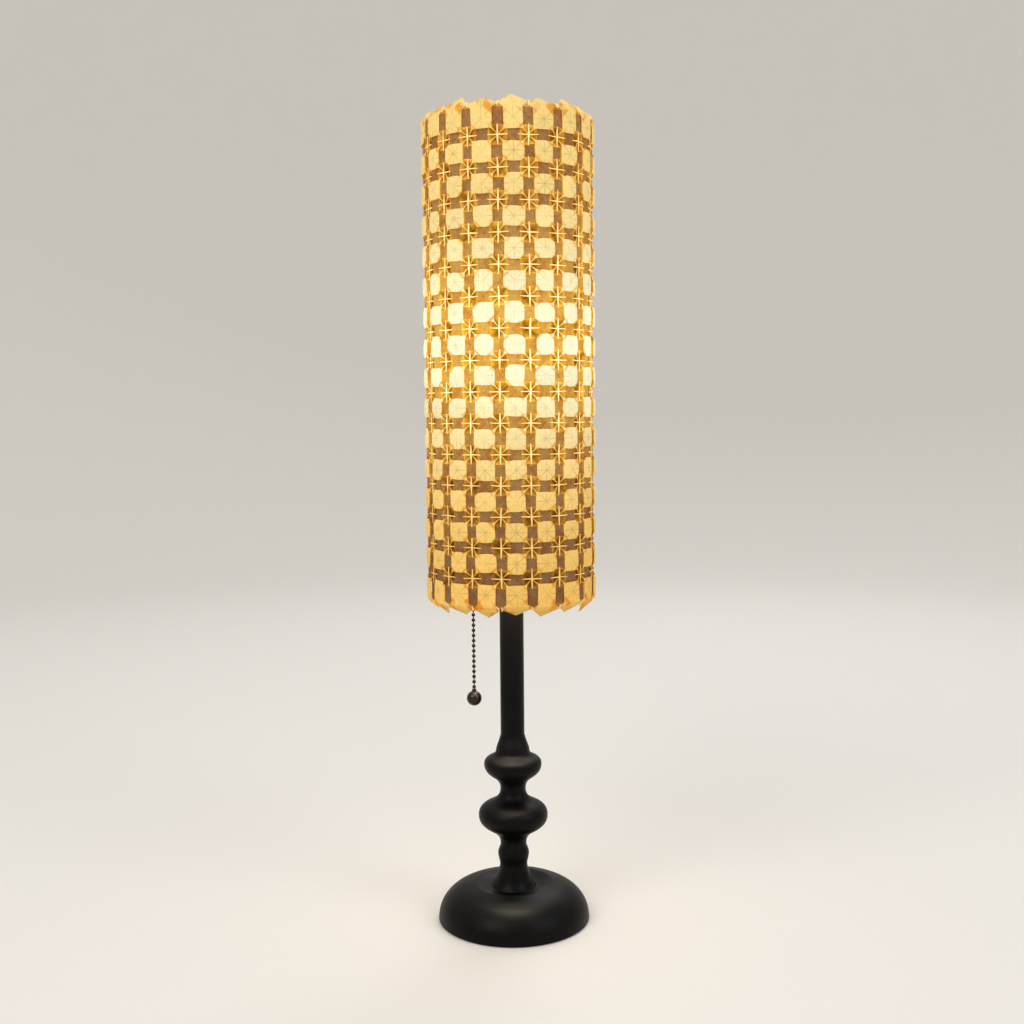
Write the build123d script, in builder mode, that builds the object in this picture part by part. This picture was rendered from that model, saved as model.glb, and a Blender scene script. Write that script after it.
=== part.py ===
from build123d import *

# Table lamp with a tall shade of folded paper modules. Millimetres.
# The origin is the middle of the underside, +Z is up and the front faces -Y.

import os
from math import atan, cos, degrees, floor, pi, radians, sin, sqrt, tan

os.makedirs("parts", exist_ok=True)

# Base
base_radius = 64.0
base_height = 31.0
base_wall = 3.0
shoulder_radius = 26.6
shoulder_power = 2.156
dish_depth = 3.0
dish_radius = 36.0
dish_floor_thickness = 2.0
felt_thickness = 1.0
felt_inset = 1.5
cover_thickness = 1.6
cover_clearance = 0.2
ledge_width = 1.5
cover_hole_radius = 2.0
cover_holes = 3

# Weight inside the base
weight_radius = 46.0
weight_edge = 12.0
weight_floor_gap = 2.4
nut_well_radius = 12.0
nut_well_depth = 9.0
cord_slot_width = 9.0

# Cord inlet at the rear of the base
inlet_height = 9.5
inlet_bore_radius = 3.2
inlet_barrel_radius = 4.5
inlet_flange_radius = 6.0
inlet_flange_thickness = 2.0
inlet_recess = 5.0
inlet_boss_radius = 7.5
inlet_boss_depth = 9.0

# Threaded rod, nuts and washers
rod_radius = 4.85
rod_bore_radius = 3.2
rod_clearance = 0.25
rod_below_nut = 1.8
rod_above_saddle_nut = 5.5
nut_flats = 14.3
nut_thickness = 4.5
saddle_nut_thickness = 3.5
washer_radius = 9.0
washer_thickness = 1.2
washer_teeth = 12
nut_bore_clearance = 0.15
nut_chamfer = 0.6
tooth_gap_depth = 2.4
tooth_gap_width = 1.2

# Turned column
column_foot_radius = 19.0
foot_neck_radius = 11.6
foot_neck_height = 47.7
bead_radius = 13.1
bead_height = 55.5
lower_neck_radius = 11.0
lower_neck_height = 65.8
large_bulb_radius = 29.25
large_bulb_height = 89.6
waist_radius = 10.7
waist_height = 113.0
small_bulb_radius = 24.3
small_bulb_height = 133.6
collar_foot_radius = 13.9
collar_foot_height = 147.0
collar_top_radius = 10.3
column_height = 158.2
spigot_length = 6.0
spigot_clearance = 0.15

# Straight tube
tube_radius = 10.05
tube_wall = 1.2
tube_top = 368.0
tube_cap_radius = 10.8
tube_cap_thickness = 2.5

# Harp and the saddle that carries it
saddle_half_span = 27.0
saddle_thickness = 1.5
saddle_width = 12.0
saddle_ear_height = 15.5
post_length = 6.0
post_root = 3.0
harp_wire_radius = 1.8
harp_leg_length = 32.0
harp_half_width = 46.0
harp_bulge_start = 78.0
harp_bulge_end = 178.0
harp_height = 248.0
harp_top_half = 10.0
sleeve_clearance = 0.3
sleeve_wall = 1.3
sleeve_length = 14.0
stud_radius = 3.15
stud_length = 17.0
stud_block_radius = 6.0
stud_block_height = 7.0
stud_block_above_wire = 3.0

# Pull chain socket
socket_radius = 16.0
socket_wall = 0.8
socket_shell_length = 47.0
cap_hub_radius = 7.6
cap_hub_length = 7.0
cap_slope_height = 9.5
cap_rim_height = 9.0
cap_slope_start = 3.0
shell_inset = 2.5
liner_wall = 0.4
inner_clearance = 0.2
socket_body_height = 27.5
socket_body_step = 5.5
socket_body_foot_radius = 11.0
screw_flat = 10.0
screw_head_radius = 3.0
screw_head_thickness = 2.2
screw_shank_radius = 1.6
screw_shank_length = 5.0
screw_height = 11.5
screw_slot_width = 0.8
screw_slot_depth = 0.9
thread_shell_wall = 0.4
thread_shell_length = 26.0
contact_length = 9.0
contact_width = 4.0
contact_thickness = 1.0

# Chain, its arm and the drum that it turns
chain_reach = 32.0
bead_size = 3.2
bead_pitch = 4.37
chain_wire = 0.9
arm_height_in_body = 21.5
arm_bore_radius = 2.3
arm_wall = 1.0
arm_drop = 8.0
bell_length = 4.0
bell_radius = 5.4
arm_flange_radius = 5.0
arm_flange_thickness = 1.2
elbow_gap = 1.0
drum_radius = 4.2
drum_width = 6.0
drum_offset = 4.0
drum_pockets = 4
drum_pocket_radius = 1.0
drum_pin_radius = 1.2
drum_pin_length = 16.0
pin_clearance = 0.1
chamber_clearance = 0.9
pull_travel = 8.0
connector_radius = 2.9
connector_cavity_radius = 2.1
connector_mouth_radius = 1.35
connector_end = 2.4
connector_spacing = 5.2
connector_to_bell = 8.0
ball_radius = 6.35
ball_height = 189.6
ball_collar_radius = 1.9
ball_to_last_bead = 9.7
ball_wire = 0.4

# Bulb
bulb_cap_radius = 13.05
bulb_cap_length = 25.0
bulb_thread_gap = 0.3
bulb_cap_wall = 1.0
bulb_tip_radius = 4.0
bulb_cone_height = 5.0
bulb_globe_radius = 30.0
bulb_globe_above_cap = 48.0
bulb_glass_wall = 0.8
bulb_stem_radius = 4.0
bulb_stem_length = 30.0
filament_wire_radius = 0.5
filament_half_width = 8.0
filament_height = 20.0
filament_gap = 0.2
filament_foot = 1.5
filament_bend = 2.0
bulb_press_height = 1.5

# Paper shade
columns_round = 18
rows_high = 16
row_pitch = 24.32
top_row_centre = 652.15
fold_radius = 70.35
panel_half_width = 7.73
panel_half_height = 7.6
panel_side_half = 4.05
panel_end_half = 4.33
sheet_thickness = 0.8
pocket_depth = 6.0
fin_width_upright = 0.95
fin_width_level = 0.65
fin_rise_middle = 0.8
fin_rise_end = 0.2
fin_root = 0.3
fin_end_depth = 0.5
module_gap = 0.3
free_edge_height = 11.7
first_column_angle = 5.17
liner_gap = 0.3
shade_liner_wall = 0.5
liner_end_inset = 1.0
ring_wire_radius = 1.8
ring_from_edge = 3.0
ring_gap = 0.1
spider_arms = 3
spider_arm_radius = 1.5
spider_flat_length = 22.0
spider_washer_radius = 9.0
spider_washer_thickness = 1.6
spider_bend_radius = 14.0
turning_gap = 0.2
turning_clearance = 0.1
finial_radius = 6.5
finial_foot_radius = 6.0
finial_neck_radius = 4.6
finial_height = 19.0
finial_foot_height = 1.5
finial_neck_start = 3.5

# Heights and radii that follow from the sizes above
rim_z = felt_thickness
foot_z = base_height - dish_depth
ceiling_z = foot_z - dish_floor_thickness
cover_top_z = rim_z + cover_thickness
weight_z = cover_top_z + weight_floor_gap
nut_well_z = weight_z + nut_well_depth
washer_z = nut_well_z - washer_thickness
bottom_nut_z = washer_z - nut_thickness
rod_z = bottom_nut_z - rod_below_nut
rod_hole_radius = rod_radius + rod_clearance
tube_bore_radius = tube_radius - tube_wall
spigot_radius = tube_bore_radius - spigot_clearance
saddle_z = tube_top + tube_cap_thickness
saddle_nut_z = saddle_z + saddle_thickness
ear_top_z = saddle_z + saddle_ear_height
harp_z = ear_top_z + post_length
harp_top_z = harp_z + harp_height
stud_block_top_z = harp_top_z + stud_block_above_wire
sleeve_bore_radius = harp_wire_radius + sleeve_clearance
sleeve_radius = sleeve_bore_radius + sleeve_wall
cap_z = saddle_nut_z + saddle_nut_thickness
rod_top_z = cap_z + rod_above_saddle_nut
cap_hub_top_z = cap_z + cap_hub_length
cap_slope_z = cap_z + cap_slope_start
cap_rim_z = cap_slope_z + cap_slope_height
cap_top_z = cap_rim_z + cap_rim_height
cap_radius = socket_radius + inner_clearance + socket_wall
socket_body_z = cap_hub_top_z
socket_body_top_z = socket_body_z + socket_body_height
shell_z = cap_rim_z + shell_inset
liner_bore_radius = socket_radius - socket_wall - inner_clearance - liner_wall
socket_body_radius = liner_bore_radius - inner_clearance
thread_bore_radius = bulb_cap_radius + bulb_thread_gap
thread_shell_radius = thread_bore_radius + thread_shell_wall
contact_top_z = socket_body_top_z + contact_thickness
bulb_z = contact_top_z + bulb_thread_gap
bulb_neck_z = bulb_z + bulb_cap_length
globe_z = bulb_neck_z + bulb_globe_above_cap
chain_arm_z = socket_body_z + arm_height_in_body
bead_radius_chain = bead_size / 2
chain_line_radius = drum_radius + bead_radius_chain + pin_clearance
drum_z = chain_arm_z - chain_line_radius
arm_radius = arm_bore_radius + arm_wall
last_bead_z = ball_height + ball_to_last_bead
bell_top_z = chain_arm_z - arm_drop
bell_z = bell_top_z - bell_length
extension_room = bell_z - connector_to_bell - connector_end - connector_spacing - last_bead_z
extension_beads = 1 + floor(extension_room / bead_pitch)
lower_pivot_z = last_bead_z + (extension_beads - 1) * bead_pitch
upper_pivot_z = lower_pivot_z + connector_spacing
arm_chain_room = chain_reach - drum_offset - pull_travel - bead_radius_chain
arm_chain_beads = 1 + floor(arm_chain_room / bead_pitch)
socket_chain_room = chain_arm_z - bead_radius_chain - elbow_gap - upper_pivot_z
socket_chain_beads = 1 + floor(socket_chain_room / bead_pitch)
column_angle = 360 / columns_round
facet_apothem = sqrt(fold_radius**2 - panel_half_width**2)
stripe_half_angle = column_angle / 2 - degrees(atan(panel_half_width / facet_apothem))
stripe_apothem = fold_radius * cos(radians(stripe_half_angle))
bottom_row_centre = top_row_centre - (rows_high - 1) * row_pitch
shade_top_z = top_row_centre + free_edge_height
shade_bottom_z = bottom_row_centre - free_edge_height
shade_liner_radius = stripe_apothem - pocket_depth - sheet_thickness - liner_gap
shade_liner_bore = shade_liner_radius - shade_liner_wall
ring_radius = shade_liner_bore - ring_wire_radius - ring_gap
top_ring_z = shade_top_z - ring_from_edge
bottom_ring_z = shade_bottom_z + ring_from_edge + ring_wire_radius
spider_washer_z = stud_block_top_z + turning_gap
finial_z = spider_washer_z + spider_washer_thickness + turning_gap

# The inlet's landing is cut this far in from the widest radius
inlet_landing_y = base_radius - inlet_recess


def shoulder_outline(radius, height, floor_z, steps=9):
    """Points up the domed shoulder, from its widest point to its crest, as a superellipse."""
    points = []
    for i in range(steps + 1):
        turn = radians(90 * i / steps)
        across = shoulder_radius + (radius - shoulder_radius) * cos(turn) ** (2 / shoulder_power)
        up = floor_z + (height - floor_z) * sin(turn) ** (2 / shoulder_power)
        points.append((across if i < steps else shoulder_radius, up))
    return points


def dome_solid(radius, height, floor_z):
    """A solid dome with the superellipse shoulder and a flat top inside the crest."""
    outline = shoulder_outline(radius, height, floor_z)
    with BuildPart() as dome:
        with BuildSketch(Plane.XZ):
            with BuildLine():
                Spline(*outline, tangents=[(0, 1), (-1, 0)])
                Polyline(outline[-1], (0, height), (0, floor_z), outline[0])
            make_face()
        revolve(axis=Axis.Z)
    return dome.part


def bead_string(count, pitch=bead_pitch, end_wire=0.0):
    """A straight string of beads up +Z from the origin, joined by one wire, turned as one outline."""
    wire = chain_wire / 2
    rise = sqrt(bead_radius_chain**2 - wire**2)
    top = (count - 1) * pitch + rise
    with BuildPart() as string:
        with BuildSketch(Plane.XZ):
            with BuildLine():
                for i in range(count):
                    middle = i * pitch
                    low, high = (wire, middle - rise), (wire, middle + rise)
                    ThreePointArc(low, (bead_radius_chain, middle), high)
                    if i < count - 1:
                        Line(high, (wire, middle + pitch - rise))
                foot = -rise - end_wire
                if end_wire:
                    Line((wire, foot), (wire, -rise))
                Polyline((wire, top), (0, top), (0, foot), (wire, foot))
            make_face()
        revolve(axis=Axis.Z)
    return string.part


def hex_nut(thickness):
    """A plain hexagon nut on the origin, with its bore for the rod."""
    with BuildPart() as nut:
        with BuildSketch():
            RegularPolygon(nut_flats / 2, 6, major_radius=False)
            Circle(rod_radius + nut_bore_clearance, mode=Mode.SUBTRACT)
        extrude(amount=thickness)
        chamfer(nut.edges().filter_by(GeomType.LINE).group_by(Axis.Z)[-1], nut_chamfer)
    return nut.part


def swell(neck, bulb, rising):
    """Outline points between a neck and a bulb, each (radius, height), from the neck up or down."""
    shares = [(0.81, 0.065), (0.60, 0.33), (0.42, 0.70), (0.22, 0.935)]
    if not rising:
        shares = [(0.72, 0.09), (0.55, 0.34), (0.40, 0.70), (0.22, 0.935)]
    neck_r, neck_z = neck
    bulb_r, bulb_z_mid = bulb
    points = []
    for away, grown in shares:
        radius = neck_r + (bulb_r - neck_r) * grown
        points.append((radius, bulb_z_mid + (neck_z - bulb_z_mid) * away))
    return points if rising else points[::-1]


# Domed base, a casting with a ledge for the cover and a boss for the cord inlet
with BuildPart() as base_cavity:
    add(dome_solid(base_radius - base_wall - ledge_width, ceiling_z, cover_top_z))
    with BuildSketch(Plane.XZ.offset(-(inlet_landing_y - inlet_boss_depth))):
        with Locations((0, inlet_height)):
            Circle(inlet_boss_radius)
    extrude(amount=-base_radius, mode=Mode.SUBTRACT)
    with BuildSketch(Plane.XY.offset(rim_z)):
        Circle(base_radius - base_wall)
    extrude(amount=cover_thickness)

with BuildPart() as base_dome:
    add(dome_solid(base_radius, base_height, rim_z))
    with BuildSketch(Plane.XZ):
        with BuildLine():
            crest = (dish_radius, base_height)
            foot = (column_foot_radius, foot_z)
            Spline(crest, foot, tangents=[(-1, 0), (-1, 0)])
            Polyline(foot, (0, foot_z), (0, base_height), crest)
        make_face()
    revolve(axis=Axis.Z, mode=Mode.SUBTRACT)
    add(base_cavity.part, mode=Mode.SUBTRACT)
    with Locations((0, 0, foot_z)):
        Hole(rod_hole_radius)
    with BuildSketch(Plane.XZ.offset(-inlet_landing_y)):
        with Locations((0, inlet_height)):
            Circle(inlet_flange_radius + cover_clearance)
    extrude(amount=-base_radius, mode=Mode.SUBTRACT)
    with BuildSketch(Plane.XZ.offset(-(inlet_landing_y + 1))):
        with Locations((0, inlet_height)):
            Circle(inlet_barrel_radius + 0.1)
    extrude(amount=inlet_boss_depth + 2, mode=Mode.SUBTRACT)

# Cord inlet: a flanged bushing that lines the hole in the boss
with BuildPart() as cord_bushing:
    with BuildSketch(Plane.XZ.offset(-inlet_landing_y)):
        with Locations((0, inlet_height)):
            Circle(inlet_flange_radius)
    extrude(amount=-inlet_flange_thickness)
    with BuildSketch(Plane.XZ.offset(-inlet_landing_y)):
        with Locations((0, inlet_height)):
            Circle(inlet_barrel_radius)
    extrude(amount=inlet_boss_depth + 1)
    with BuildSketch(Plane.XZ.offset(-(inlet_landing_y + inlet_flange_thickness))):
        with Locations((0, inlet_height)):
            Circle(inlet_bore_radius)
    extrude(amount=inlet_boss_depth + inlet_flange_thickness + 1, mode=Mode.SUBTRACT)
    fillet(cord_bushing.faces().sort_by(Axis.Y)[-1].edges(), 0.5)

# Iron weight, held up against the base's ceiling, with a well for the nut and a slot for the cord
with BuildPart() as base_weight:
    with BuildSketch(Plane.XZ):
        with BuildLine():
            Polyline(
                (rod_hole_radius, weight_z),
                (weight_radius, weight_z),
                (weight_radius, weight_z + weight_edge),
                (shoulder_radius - 2, ceiling_z),
                (rod_hole_radius, ceiling_z),
                (rod_hole_radius, weight_z),
            )
        make_face()
    revolve(axis=Axis.Z)
    with BuildSketch(Plane.XY.offset(weight_z)):
        Circle(nut_well_radius)
        with Locations((0, weight_radius / 2)):
            Rectangle(cord_slot_width, weight_radius + 1)
    extrude(amount=nut_well_depth, mode=Mode.SUBTRACT)

with BuildPart() as bottom_cover:
    with BuildSketch(Plane.XY.offset(rim_z)):
        Circle(base_radius - base_wall - cover_clearance)
        with PolarLocations(weight_radius, cover_holes, start_angle=30):
            Circle(cover_hole_radius, mode=Mode.SUBTRACT)
    extrude(amount=cover_thickness)

with BuildPart() as felt_pad:
    with BuildSketch():
        Circle(base_radius - felt_inset)
    extrude(amount=felt_thickness)

with BuildPart() as lock_washer:
    with BuildSketch(Plane.XY.offset(washer_z)):
        Circle(washer_radius)
        Circle(rod_hole_radius, mode=Mode.SUBTRACT)
        with PolarLocations(washer_radius, washer_teeth):
            Rectangle(tooth_gap_depth, tooth_gap_width, mode=Mode.SUBTRACT)
    extrude(amount=washer_thickness)

with BuildPart() as bottom_nut:
    with Locations((0, 0, bottom_nut_z)):
        add(hex_nut(nut_thickness))

with BuildPart() as threaded_rod:
    with BuildSketch(Plane.XY.offset(rod_z)):
        Circle(rod_radius)
        Circle(rod_bore_radius, mode=Mode.SUBTRACT)
    extrude(amount=rod_top_z - rod_z)

# Turned column: flared foot, bead, large bulb, waist, small bulb and tapered collar
lower_neck = (lower_neck_radius, lower_neck_height)
large_bulb = (large_bulb_radius, large_bulb_height)
waist = (waist_radius, waist_height)
small_bulb = (small_bulb_radius, small_bulb_height)
collar_foot = (collar_foot_radius, collar_foot_height)
foot_rise = foot_neck_height - foot_z
foot_flare = column_foot_radius - foot_neck_radius
collar_taper = collar_foot_radius - collar_top_radius
column_outline = [
    (column_foot_radius, foot_z),
    (foot_neck_radius + 0.56 * foot_flare, foot_z + 0.24 * foot_rise),
    (foot_neck_radius + 0.21 * foot_flare, foot_z + 0.62 * foot_rise),
    (foot_neck_radius, foot_neck_height),
    ((foot_neck_radius + bead_radius) / 2, (foot_neck_height + bead_height) / 2),
    (bead_radius, bead_height),
    (
        lower_neck_radius + 0.76 * (bead_radius - lower_neck_radius),
        bead_height + 0.4 * (lower_neck_height - bead_height),
    ),
    (
        lower_neck_radius + 0.1 * (bead_radius - lower_neck_radius),
        bead_height + 0.73 * (lower_neck_height - bead_height),
    ),
    lower_neck,
    *swell(lower_neck, large_bulb, rising=True),
    large_bulb,
    *swell(waist, large_bulb, rising=False),
    waist,
    *swell(waist, small_bulb, rising=True),
    small_bulb,
    *swell(collar_foot, small_bulb, rising=False),
    collar_foot,
    (
        collar_top_radius + 0.55 * collar_taper,
        collar_foot_height + 0.44 * (column_height - collar_foot_height),
    ),
    (collar_top_radius, column_height),
]
with BuildPart() as column:
    with BuildSketch(Plane.XZ):
        with BuildLine():
            Spline(*column_outline)
            Polyline(
                column_outline[-1],
                (spigot_radius, column_height),
                (spigot_radius, column_height + spigot_length),
                (rod_hole_radius, column_height + spigot_length),
                (rod_hole_radius, foot_z),
                column_outline[0],
            )
        make_face()
    revolve(axis=Axis.Z)

with BuildPart() as stem_tube:
    with BuildSketch(Plane.XY.offset(column_height)):
        Circle(tube_radius)
        Circle(tube_bore_radius, mode=Mode.SUBTRACT)
    extrude(amount=tube_top - column_height)

with BuildPart() as tube_cap:
    with BuildSketch(Plane.XY.offset(tube_top)):
        Circle(tube_cap_radius)
    extrude(amount=tube_cap_thickness)
    fillet(tube_cap.edges().group_by(Axis.Z)[-1], 1.0)
    with BuildSketch(Plane.XY.offset(tube_top - spigot_length)):
        Circle(spigot_radius)
    extrude(amount=spigot_length)
    with Locations((0, 0, saddle_z)):
        Hole(rod_hole_radius)

# Saddle: a bent strip with a post on each ear, which the harp's legs stand on
with BuildPart() as harp_saddle:
    ear_outside = saddle_half_span + saddle_thickness / 2
    with BuildSketch(Plane.YZ):
        with Locations((0, saddle_z)):
            Rectangle(2 * ear_outside, saddle_ear_height, align=(Align.CENTER, Align.MIN))
    extrude(amount=saddle_width / 2, both=True)
    with BuildSketch(Plane.YZ):
        with Locations((0, saddle_z + saddle_thickness)):
            Rectangle(
                2 * (ear_outside - saddle_thickness),
                saddle_ear_height,
                align=(Align.CENTER, Align.MIN),
            )
    extrude(amount=saddle_width, both=True, mode=Mode.SUBTRACT)
    fillet(harp_saddle.edges().filter_by(Axis.X).group_by(Axis.Z)[0], saddle_thickness)
    with Locations((0, 0, saddle_z + saddle_thickness)):
        Hole(rod_hole_radius)
    with BuildSketch(Plane.XY.offset(ear_top_z - post_root)):
        with GridLocations(0, 2 * saddle_half_span, 1, 2):
            Circle(harp_wire_radius)
    extrude(amount=post_root + post_length)

with BuildPart() as saddle_nut:
    with Locations((0, 0, saddle_nut_z)):
        add(hex_nut(saddle_nut_thickness))

# Harp: one wire bow round the bulb
with BuildPart() as harp:
    with BuildLine(Plane.YZ):
        FilletPolyline(
            (-saddle_half_span, harp_z),
            (-saddle_half_span, harp_z + harp_leg_length),
            (-harp_half_width, harp_z + harp_bulge_start),
            (-harp_half_width, harp_z + harp_bulge_end),
            (-harp_top_half, harp_top_z),
            (harp_top_half, harp_top_z),
            (harp_half_width, harp_z + harp_bulge_end),
            (harp_half_width, harp_z + harp_bulge_start),
            (saddle_half_span, harp_z + harp_leg_length),
            (saddle_half_span, harp_z),
            radius=[40, 60, 90, 9, 9, 90, 60, 40],
        )
    with BuildSketch(Plane.XY.offset(harp_z)):
        with Locations((0, -saddle_half_span)):
            Circle(harp_wire_radius)
    sweep()

# Stud that carries the shade, clipped over the top of the harp
with BuildPart() as harp_stud:
    with BuildSketch(Plane.XY.offset(stud_block_top_z - stud_block_height)):
        Circle(stud_block_radius)
    extrude(amount=stud_block_height)
    with BuildSketch(Plane.XZ.offset(-stud_block_radius)):
        with Locations((0, harp_top_z)):
            Circle(harp_wire_radius + pin_clearance)
        with Locations((0, stud_block_top_z - stud_block_height)):
            Rectangle(
                2 * (harp_wire_radius + pin_clearance),
                2 * (stud_block_height - stud_block_above_wire),
            )
    extrude(amount=2 * stud_block_radius, mode=Mode.SUBTRACT)
    with BuildSketch(Plane.XY.offset(stud_block_top_z)):
        Circle(stud_radius)
    extrude(amount=stud_length)
    chamfer(harp_stud.edges().group_by(Axis.Z)[-1], 0.5)


def harp_sleeve(side):
    """The collar that slides down over one ear's post and the harp's leg above it."""
    with BuildPart() as sleeve:
        with BuildSketch(Plane.XY.offset(ear_top_z + turning_gap)):
            with Locations((0, side * saddle_half_span)):
                Circle(sleeve_radius)
                Circle(sleeve_bore_radius, mode=Mode.SUBTRACT)
        extrude(amount=sleeve_length)
        rims = sleeve.edges().filter_by(GeomType.CIRCLE)
        fillet(rims.filter_by(lambda rim: rim.radius > sleeve_bore_radius + 0.1), 0.5)
    return sleeve.part


with BuildPart() as sleeve_front:
    add(harp_sleeve(-1))

with BuildPart() as sleeve_rear:
    add(harp_sleeve(1))

# Socket: cap on the rod, shell in the cap, and a cardboard liner in the shell
with BuildPart() as socket_cap:
    with BuildSketch(Plane.XZ):
        with BuildLine():
            Polyline(
                (rod_hole_radius, cap_z),
                (cap_hub_radius, cap_z),
                (cap_hub_radius, cap_slope_z),
                (0.75 * cap_radius, cap_slope_z + 0.25 * cap_slope_height),
                (cap_radius, cap_rim_z),
                (cap_radius, cap_top_z),
                (cap_radius - socket_wall, cap_top_z),
                (cap_radius - socket_wall, cap_rim_z),
                (0.75 * cap_radius - socket_wall, cap_slope_z + 0.25 * cap_slope_height + socket_wall),
                (cap_hub_radius, cap_slope_z + 2 * socket_wall),
                (cap_hub_radius, cap_hub_top_z),
                (rod_hole_radius, cap_hub_top_z),
                (rod_hole_radius, cap_z),
            )
        make_face()
    revolve(axis=Axis.Z)

with BuildPart() as socket_shell:
    with BuildSketch(Plane.XY.offset(shell_z)):
        Circle(socket_radius)
        Circle(socket_radius - socket_wall, mode=Mode.SUBTRACT)
    extrude(amount=socket_shell_length)
    with BuildSketch(Plane.YZ):
        with Locations((0, chain_arm_z)):
            Circle(arm_radius + inner_clearance)
    extrude(amount=-cap_radius, mode=Mode.SUBTRACT)

with BuildPart() as socket_liner:
    with BuildSketch(Plane.XY.offset(shell_z)):
        Circle(liner_bore_radius + liner_wall)
        Circle(liner_bore_radius, mode=Mode.SUBTRACT)
    extrude(amount=socket_shell_length - 1)
    with BuildSketch(Plane.YZ):
        with Locations((0, chain_arm_z)):
            Circle(arm_radius + inner_clearance)
    extrude(amount=-cap_radius, mode=Mode.SUBTRACT)

# Moulded body: stands on the cap's hub and holds the switch chamber and the two terminals
chamber_radius = chain_line_radius + bead_radius_chain + chamber_clearance
with BuildPart() as socket_body:
    with BuildSketch(Plane.XY.offset(socket_body_z)):
        Circle(socket_body_foot_radius)
    extrude(amount=socket_body_step)
    with BuildSketch(Plane.XY.offset(socket_body_z + socket_body_step)):
        Circle(socket_body_radius)
    extrude(amount=socket_body_height - socket_body_step)
    for side in (-1, 1):
        with BuildSketch(Plane.XY.offset(socket_body_z + socket_body_step)):
            with Locations((0, side * (screw_flat + socket_body_radius))):
                Rectangle(2 * socket_body_radius, 2 * socket_body_radius)
        extrude(amount=2 * (screw_height - socket_body_step), mode=Mode.SUBTRACT)
        with BuildSketch(Plane.XZ.offset(side * screw_flat)):
            with Locations((0, socket_body_z + screw_height)):
                Circle(screw_shank_radius + pin_clearance)
        extrude(amount=-side * (screw_shank_length + 1), mode=Mode.SUBTRACT)
    with BuildSketch(Plane.XZ):
        with Locations((-drum_offset, drum_z)):
            Circle(chamber_radius)
        with Locations((-drum_offset - socket_body_radius / 2, drum_z + chamber_radius / 2)):
            Rectangle(socket_body_radius, chamber_radius)
    extrude(amount=drum_width / 2 + 1, both=True, mode=Mode.SUBTRACT)
    with BuildSketch(Plane.XZ):
        with Locations((-drum_offset, drum_z)):
            Circle(drum_pin_radius)
    extrude(amount=drum_pin_length / 2, both=True, mode=Mode.SUBTRACT)

with BuildPart() as drum_pin:
    with BuildSketch(Plane.XZ):
        with Locations((-drum_offset, drum_z)):
            Circle(drum_pin_radius)
    extrude(amount=drum_pin_length / 2, both=True)

with BuildPart() as switch_drum:
    with BuildSketch(Plane.XZ):
        with Locations((-drum_offset, drum_z)):
            Circle(drum_radius)
            Circle(drum_pin_radius + pin_clearance, mode=Mode.SUBTRACT)
            with PolarLocations(drum_radius, drum_pockets, start_angle=45):
                Circle(drum_pocket_radius, mode=Mode.SUBTRACT)
    extrude(amount=drum_width / 2, both=True)

with BuildPart() as terminal_screws:
    for side in (-1, 1):
        with BuildSketch(Plane.XZ.offset(side * screw_flat)):
            with Locations((0, socket_body_z + screw_height)):
                Circle(screw_head_radius)
        extrude(amount=side * screw_head_thickness)
        with BuildSketch(Plane.XZ.offset(side * (screw_flat + screw_head_thickness))):
            with Locations((0, socket_body_z + screw_height)):
                Rectangle(2 * screw_head_radius, screw_slot_width)
        extrude(amount=-side * screw_slot_depth, mode=Mode.SUBTRACT)
        with BuildSketch(Plane.XZ.offset(side * screw_flat)):
            with Locations((0, socket_body_z + screw_height)):
                Circle(screw_shank_radius)
        extrude(amount=-side * screw_shank_length)

with BuildPart() as screw_shell:
    with BuildSketch(Plane.XY.offset(socket_body_top_z)):
        Circle(thread_shell_radius)
    extrude(amount=thread_shell_length)
    with BuildSketch(Plane.XY.offset(socket_body_top_z + thread_shell_wall)):
        Circle(thread_bore_radius)
    extrude(amount=thread_shell_length, mode=Mode.SUBTRACT)
    with BuildSketch(Plane.XY.offset(socket_body_top_z)):
        Circle(contact_length / 2 + 1)
    extrude(amount=thread_shell_wall, mode=Mode.SUBTRACT)

with BuildPart() as centre_contact:
    with BuildSketch(Plane.XY.offset(socket_body_top_z)):
        Rectangle(contact_length, contact_width)
    extrude(amount=contact_thickness)
    fillet(centre_contact.edges().filter_by(Axis.Y).group_by(Axis.Z)[-1], contact_thickness * 0.8)

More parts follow.
